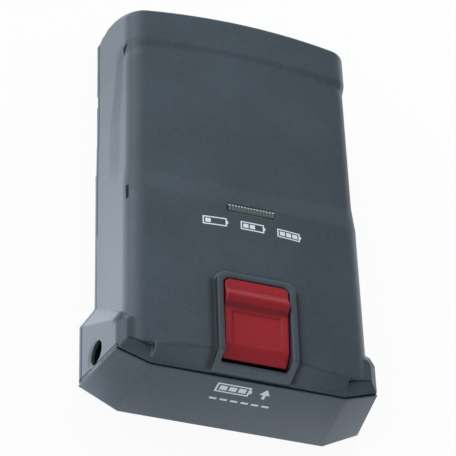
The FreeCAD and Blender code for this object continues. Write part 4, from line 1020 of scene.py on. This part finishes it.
@dataclass
class Marks:
    """Printed signs: filling batteries under the window, and a battery that slides out on the cap."""

    line: float = 0.42 * MM
    proud: float = 0.02 * MM
    sunk: float = 0.06 * MM
    step: float = 1.0 * MM
    cut_slack: float = 0.0001 * MM
    ray_start: float = 0.2
    battery: Pair = (7.6 * MM, 3.2 * MM)
    charge_bars: int = 3
    status_row: float = -20.7 * MM
    status_places: Triple = (-12.0 * MM, 0.0, 12.0 * MM)
    cap_row: float = 20.8 * MM
    cap_battery: float = -3.4 * MM
    cap_scale: float = 1.4
    arrow_place: float = 6.6 * MM
    arrow_radius: float = 1.9 * MM
    arrow_rise: float = 0.8 * MM
    shaft_drop: float = 1.2 * MM
    shaft: Pair = (1.0 * MM, 2.0 * MM)
    dash_row: float = 15.0 * MM
    dash_count: int = 6
    dash_first: float = -7.75 * MM
    dash_pitch: float = 3.3 * MM
    dash: Pair = (2.3 * MM, 0.9 * MM)

    def build(self, workshop: Workshop, housing: Housing) -> None:
        """Prints both sets of signs.

        Args:
            workshop: What makes the pieces.
            housing: The mouldings that carry the signs.
        """
        status = bmesh.new()
        for number, place in enumerate(self.status_places, start=1):
            self.cell(status, place, self.status_row, number)
        self.lay(status, Face.FRONT, housing.shell)
        workshop.add("status_marks", status, PRINT)
        release = bmesh.new()
        self.cell(release, self.cap_battery, self.cap_row, self.charge_bars, self.cap_scale)
        self.bar(release, self.arrow_place, self.cap_row - self.shaft_drop, *self.shaft)
        self.arrow(release, self.arrow_place, self.cap_row + self.arrow_rise, self.arrow_radius)
        for index in range(self.dash_count):
            self.bar(release, index * self.dash_pitch + self.dash_first, self.dash_row, *self.dash)
        self.lay(release, Face.CAP, housing.cap)
        workshop.add("release_marks", release, PRINT)

    def bar(self, shape: bmesh.types.BMesh, across: float, up: float, width: float, height: float) -> None:
        """Adds one filled bar, one metre thick until it is laid.

        Args:
            shape: The mesh that it goes into.
            across: Its middle across the face.
            up: Its middle up the face.
            width: How wide it is.
            height: How high it is.
        """
        place = Matrix.Translation((across, up, 0)) @ Matrix.Diagonal((width, height, 1, 1))
        bmesh.ops.create_cube(shape, size=1.0, matrix=place)

    def arrow(self, shape: bmesh.types.BMesh, across: float, up: float, radius: float) -> None:
        """Adds one filled arrow head that points up."""
        bmesh.ops.create_cone(shape, cap_ends=True, segments=3, radius1=radius, radius2=radius, depth=1.0,
                              matrix=Matrix.Translation((across, up, 0)))

    def cell(self, shape: bmesh.types.BMesh, across: float, up: float, bars: int, scale: float = 1.0) -> None:
        """Adds the outline of a battery with its nub and some bars of charge.

        Args:
            shape: The mesh that it goes into.
            across: Its middle across the face.
            up: Its middle up the face.
            bars: How many of its three bars are filled.
            scale: How many times larger than the signs under the window it is.
        """
        width, height = (extent * scale for extent in self.battery)
        line = self.line * scale
        for side in (-1, 1):
            self.bar(shape, across, up + side * (height - line) / 2, width, line)
            self.bar(shape, across + side * (width - line) / 2, up, line, height - line * 2)
        self.bar(shape, across + width / 2 + line / 2, up, line, height / 3)
        pitch = (width - line * 3) / self.charge_bars
        for index in range(bars):
            self.bar(shape, across + (index - 1) * pitch, up, pitch - line, height - line * 4)

    def lay(self, shape: bmesh.types.BMesh, face: Face, carrier: bpy.types.Object) -> None:
        """Lays flat signs on a face, just proud of it.

        Args:
            shape: The signs, drawn about the middle of the face.
            face: The face that they go on.
            carrier: The piece whose face it is.
        """
        right, up, out = face.value
        tree = BVHTree.FromPolygons([vertex.co for vertex in carrier.data.vertices],
                                    [polygon.vertices for polygon in carrier.data.polygons])
        cuts = int(max(abs(vertex.co.x) for vertex in shape.verts) / self.step)
        for index in range(-cuts, cuts + 1):
            bmesh.ops.bisect_plane(shape, geom=shape.verts[:] + shape.edges[:] + shape.faces[:],
                                   dist=self.cut_slack, plane_co=(index * self.step, 0, 0), plane_no=(1, 0, 0))
        for vertex in shape.verts:
            across, high, level = vertex.co
            flat = right * across + up * high
            hit = tree.ray_cast(flat + out * self.ray_start, -out)[0]
            vertex.co = hit + out * (self.proud if level > 0 else -self.sunk)
        bmesh.ops.recalc_face_normals(shape, faces=shape.faces)


@dataclass
class Release:
    """The red lever, its pin and its spring."""

    voxel: float = 0.22 * MM
    passes: int = 9
    pin_round: float = 0.2 * MM
    wire: float = 0.7 * MM
    wire_sides: int = 10
    turns: int = 7
    turn_steps: int = 20
    keep: float = 0.735

    def build(self, workshop: Workshop) -> None:
        """Builds and dresses the lever and what works it.

        Args:
            workshop: What makes the pieces.
        """
        workshop.remould("release_lever", "lever", voxel=self.voxel, passes=self.passes, budget=SMALL_BUDGET)
        workshop.carry("lever_pivot_pin", bevel=self.pin_round)
        self.spring(workshop)

    def spring(self, workshop: Workshop) -> None:
        """Winds the return spring in the room of its node.

        Args:
            workshop: What makes the pieces.
        """
        low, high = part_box("lever_spring")
        middle = (low + high) / 2
        radius = (high.x - low.x) / 2 - self.wire / 2
        steps = self.turns * self.turn_steps
        shape = bmesh.new()
        rise = (high.z - low.z - self.wire) / steps
        start = Matrix.Translation((middle.x + radius, middle.y, low.z + self.wire / 2))
        bmesh.ops.create_circle(shape, segments=self.wire_sides, radius=self.wire / 2, cap_ends=True,
                                matrix=start @ Matrix.Rotation(math.pi / 2, 4, "X"))
        bmesh.ops.spin(shape, geom=shape.verts[:] + shape.edges[:] + shape.faces[:], cent=middle,
                       axis=(0, 0, 1), dvec=(0, 0, rise), angle=math.tau * self.turns, steps=steps)
        bmesh.ops.recalc_face_normals(shape, faces=shape.faces)
        piece = workshop.add("lever_spring_coil", shape, FINISHES["steel_bright"], slot="steel_bright")
        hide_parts("lever_spring")
        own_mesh(piece)


@dataclass
class Inside:
    """Everything that the housing holds: cells, holders, boards, jack and contacts."""

    bevels: dict[str, float]

    def build(self, workshop: Workshop) -> None:
        """Carries every inner node over with its edges rounded."""
        for node, bevel in self.bevels.items():
            workshop.carry(node, bevel=bevel)


INSIDE = Inside({
    "status_lens": 0.06 * MM,
    **{f"cell_{number}": 0.3 * MM for number in range(1, 7)},
    "cell_holder_left": 0.25 * MM,
    "cell_holder_right": 0.25 * MM,
    "nickel_strips_left": 0.04 * MM,
    "nickel_strips_right": 0.04 * MM,
    "insulation_sheet_left": 0.05 * MM,
    "insulation_sheet_right": 0.05 * MM,
    "cell_foam_pad": 0.15 * MM,
    "main_board": 0.08 * MM,
    "board_screws": 0.15 * MM,
    "controller_chip": 0.12 * MM,
    "power_transistors": 0.15 * MM,
    "board_capacitors": 0.3 * MM,
    "status_leds": 0.1 * MM,
    "board_fuse": 0.15 * MM,
    "current_shunt": 0.1 * MM,
    "temperature_sensor": 0.05 * MM,
    "charge_jack": 0.2 * MM,
    "jack_centre_pin": 0.3 * MM,
    "jack_sleeve_contact": 0.05 * MM,
    "jack_board": 0.08 * MM,
    "jack_board_rest": 0.25 * MM,
    "terminal_block": 0.15 * MM,
    "terminal_contacts": 0.05 * MM,
    "positive_lead": 0.0,
    "negative_lead": 0.0,
    "jack_lead_positive": 0.0,
    "jack_lead_negative": 0.0,
})


@dataclass
class Studio:
    """The floor, the lamp, the surroundings and the camera.

    The floor on the pack's left glows more than the rest, most of all near the foot, because the left side is
    brighter in the photograph. Four numbers are two places, or directions, and the levels there.
    """

    floor_size: float = 3.0
    floor_grey: Colour = (0.86, 0.86, 0.86)
    floor_tint: Colour = (0.92, 1.0, 1.12)
    floor_level: float = 0.74
    floor_glow: float = 0.93
    left_glow: float = 0.8
    left_across: Four = (-0.05, -0.02, 1.0, 0.0)
    left_along: Pair = (-0.08, -0.07)
    left_ramp: Four = (-0.05, 0.1, 1.42, 0.84)
    white: Colour = (1.0, 1.0, 1.0)
    sky_tint: Colour = (0.92, 0.99, 1.06)
    sky_way: Triple = (-0.55, 0.1, -0.8)
    sky_soft: Four = (-0.9, 0.6, 0.65, 1.1)
    sky_across: Four = (-0.6, 0.8, 1.2, 0.3)
    sky_mirrored: Four = (-0.7, 0.5, 0.25, 1.4)
    lamp_place: Vector = Vector((0.1, 0.26, 0.5))
    lamp_size: float = 0.25
    lamp_power: float = 1.1
    eye: Vector = Vector((-212.3, -488.15, 575.1)) * MM
    right: Vector = Vector((0.943, -0.029, 0.331))
    up: Vector = Vector((-0.184, 0.784, 0.593))
    focal_pixels: float = 2439.75
    centre_row: float = 248.1
    frame_pixels: float = 456.0
    sensor: float = 36.0
    sight: float = 10.0

    def build(self) -> None:
        """Builds the studio."""
        self.floor()
        self.surroundings()
        self.lamp()
        self.camera()

    def floor(self) -> None:
        """Lays the pale floor: white for the camera, matt with a soft glow for the pack."""
        shape = bmesh.new()
        bmesh.ops.create_grid(shape, x_segments=1, y_segments=1, size=self.floor_size)
        mesh = bpy.data.meshes.new("floor")
        shape.to_mesh(mesh)
        shape.free()
        floor = bpy.data.objects.new("floor", mesh)
        bpy.context.scene.collection.objects.link(floor)
        made = bpy.data.materials.new("pale_floor")
        made.use_nodes = True
        recipe = Recipe(made.node_tree)
        matt = recipe.node("ShaderNodeBsdfDiffuse", sockets={"Color": self.floor_grey})
        camera = recipe.node("ShaderNodeLightPath", output="Is Camera Ray")
        tint = recipe.blend(camera, self.floor_tint, self.white)
        along = recipe.axis("Y")
        left = recipe.axis("X").ramp(*self.left_across) * along.ramp(*self.left_along)
        level = left * (along.ramp(*self.left_ramp) - self.floor_level) + self.floor_level
        strength = camera + (1 - camera) * level
        glow = recipe.node("ShaderNodeEmission", sockets={"Color": tint, "Strength": strength})
        seen = recipe.seen()
        share = camera * self.floor_glow + (seen - camera) + (1 - seen) * left * self.left_glow
        mixed = recipe.node("ShaderNodeMixShader", sockets={0: share, 1: matt, 2: glow})
        recipe.close(mixed, "ShaderNodeOutputMaterial")
        mesh.materials.append(made)

    def surroundings(self) -> None:
        """Lights the scene from all round, and shows white behind the pack."""
        world = bpy.data.worlds.new("studio")
        world.use_nodes = True
        bpy.context.scene.world = world
        recipe = Recipe(world.node_tree)
        direction = recipe.node("ShaderNodeTexCoord", output="Generated")
        settings = {"operation": "DOT_PRODUCT"}
        sockets = {0: direction, 1: self.sky_way}
        towards = recipe.node("ShaderNodeVectorMath", settings, sockets, output="Value")
        camera = recipe.node("ShaderNodeLightPath", output="Is Camera Ray")
        mirror = recipe.seen()
        across = recipe.node("ShaderNodeSeparateXYZ", sockets={0: direction}, output="X")
        soft = towards.ramp(*self.sky_soft) * across.ramp(*self.sky_across)
        bright = towards.ramp(*self.sky_mirrored)
        strength = camera + (1 - camera) * (mirror * bright + (1 - mirror) * soft)
        tint = recipe.blend(camera, self.sky_tint, self.white)
        sky = recipe.node("ShaderNodeBackground", sockets={"Color": tint, "Strength": strength})
        recipe.close(sky, "ShaderNodeOutputWorld")

    def lamp(self) -> None:
        """Hangs one soft lamp that points at the pack."""
        light = bpy.data.lights.new("key", "AREA")
        light.shape = "DISK"
        light.size = self.lamp_size
        light.energy = self.lamp_power
        lamp = bpy.data.objects.new("key", light)
        lamp.location = self.lamp_place
        lamp.rotation_euler = (-self.lamp_place).to_track_quat("-Z", "Y").to_euler()
        lamp.visible_glossy = False
        bpy.context.scene.collection.objects.link(lamp)

    def camera(self) -> None:
        """Sets the camera at the photograph's place and angle."""
        data = bpy.data.cameras.new("camera")
        data.sensor_width = self.sensor
        data.lens = self.focal_pixels * self.sensor / self.frame_pixels
        data.shift_y = (self.centre_row - self.frame_pixels / 2) / self.frame_pixels
        data.clip_end = self.sight
        camera = bpy.data.objects.new("camera", data)
        back = self.right.cross(self.up).normalized()
        up = back.cross(self.right).normalized()
        turn = Matrix((self.right.normalized(), up, back)).transposed()
        camera.matrix_world = Matrix.Translation(self.eye) @ turn.to_4x4()
        bpy.context.scene.collection.objects.link(camera)
        bpy.context.scene.camera = camera


def main() -> None:
    """Builds the pack and its studio."""
    logging.basicConfig(level=logging.INFO, format="%(message)s")
    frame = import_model()
    workshop = Workshop(frame)
    housing = Housing()
    housing.build(workshop)
    Marks().build(workshop, housing)
    for part in (Release(), INSIDE):
        part.build(workshop)
    Studio().build()
    bpy.context.scene.view_settings.view_transform = "Standard"


if __name__ == "__main__":
    main()
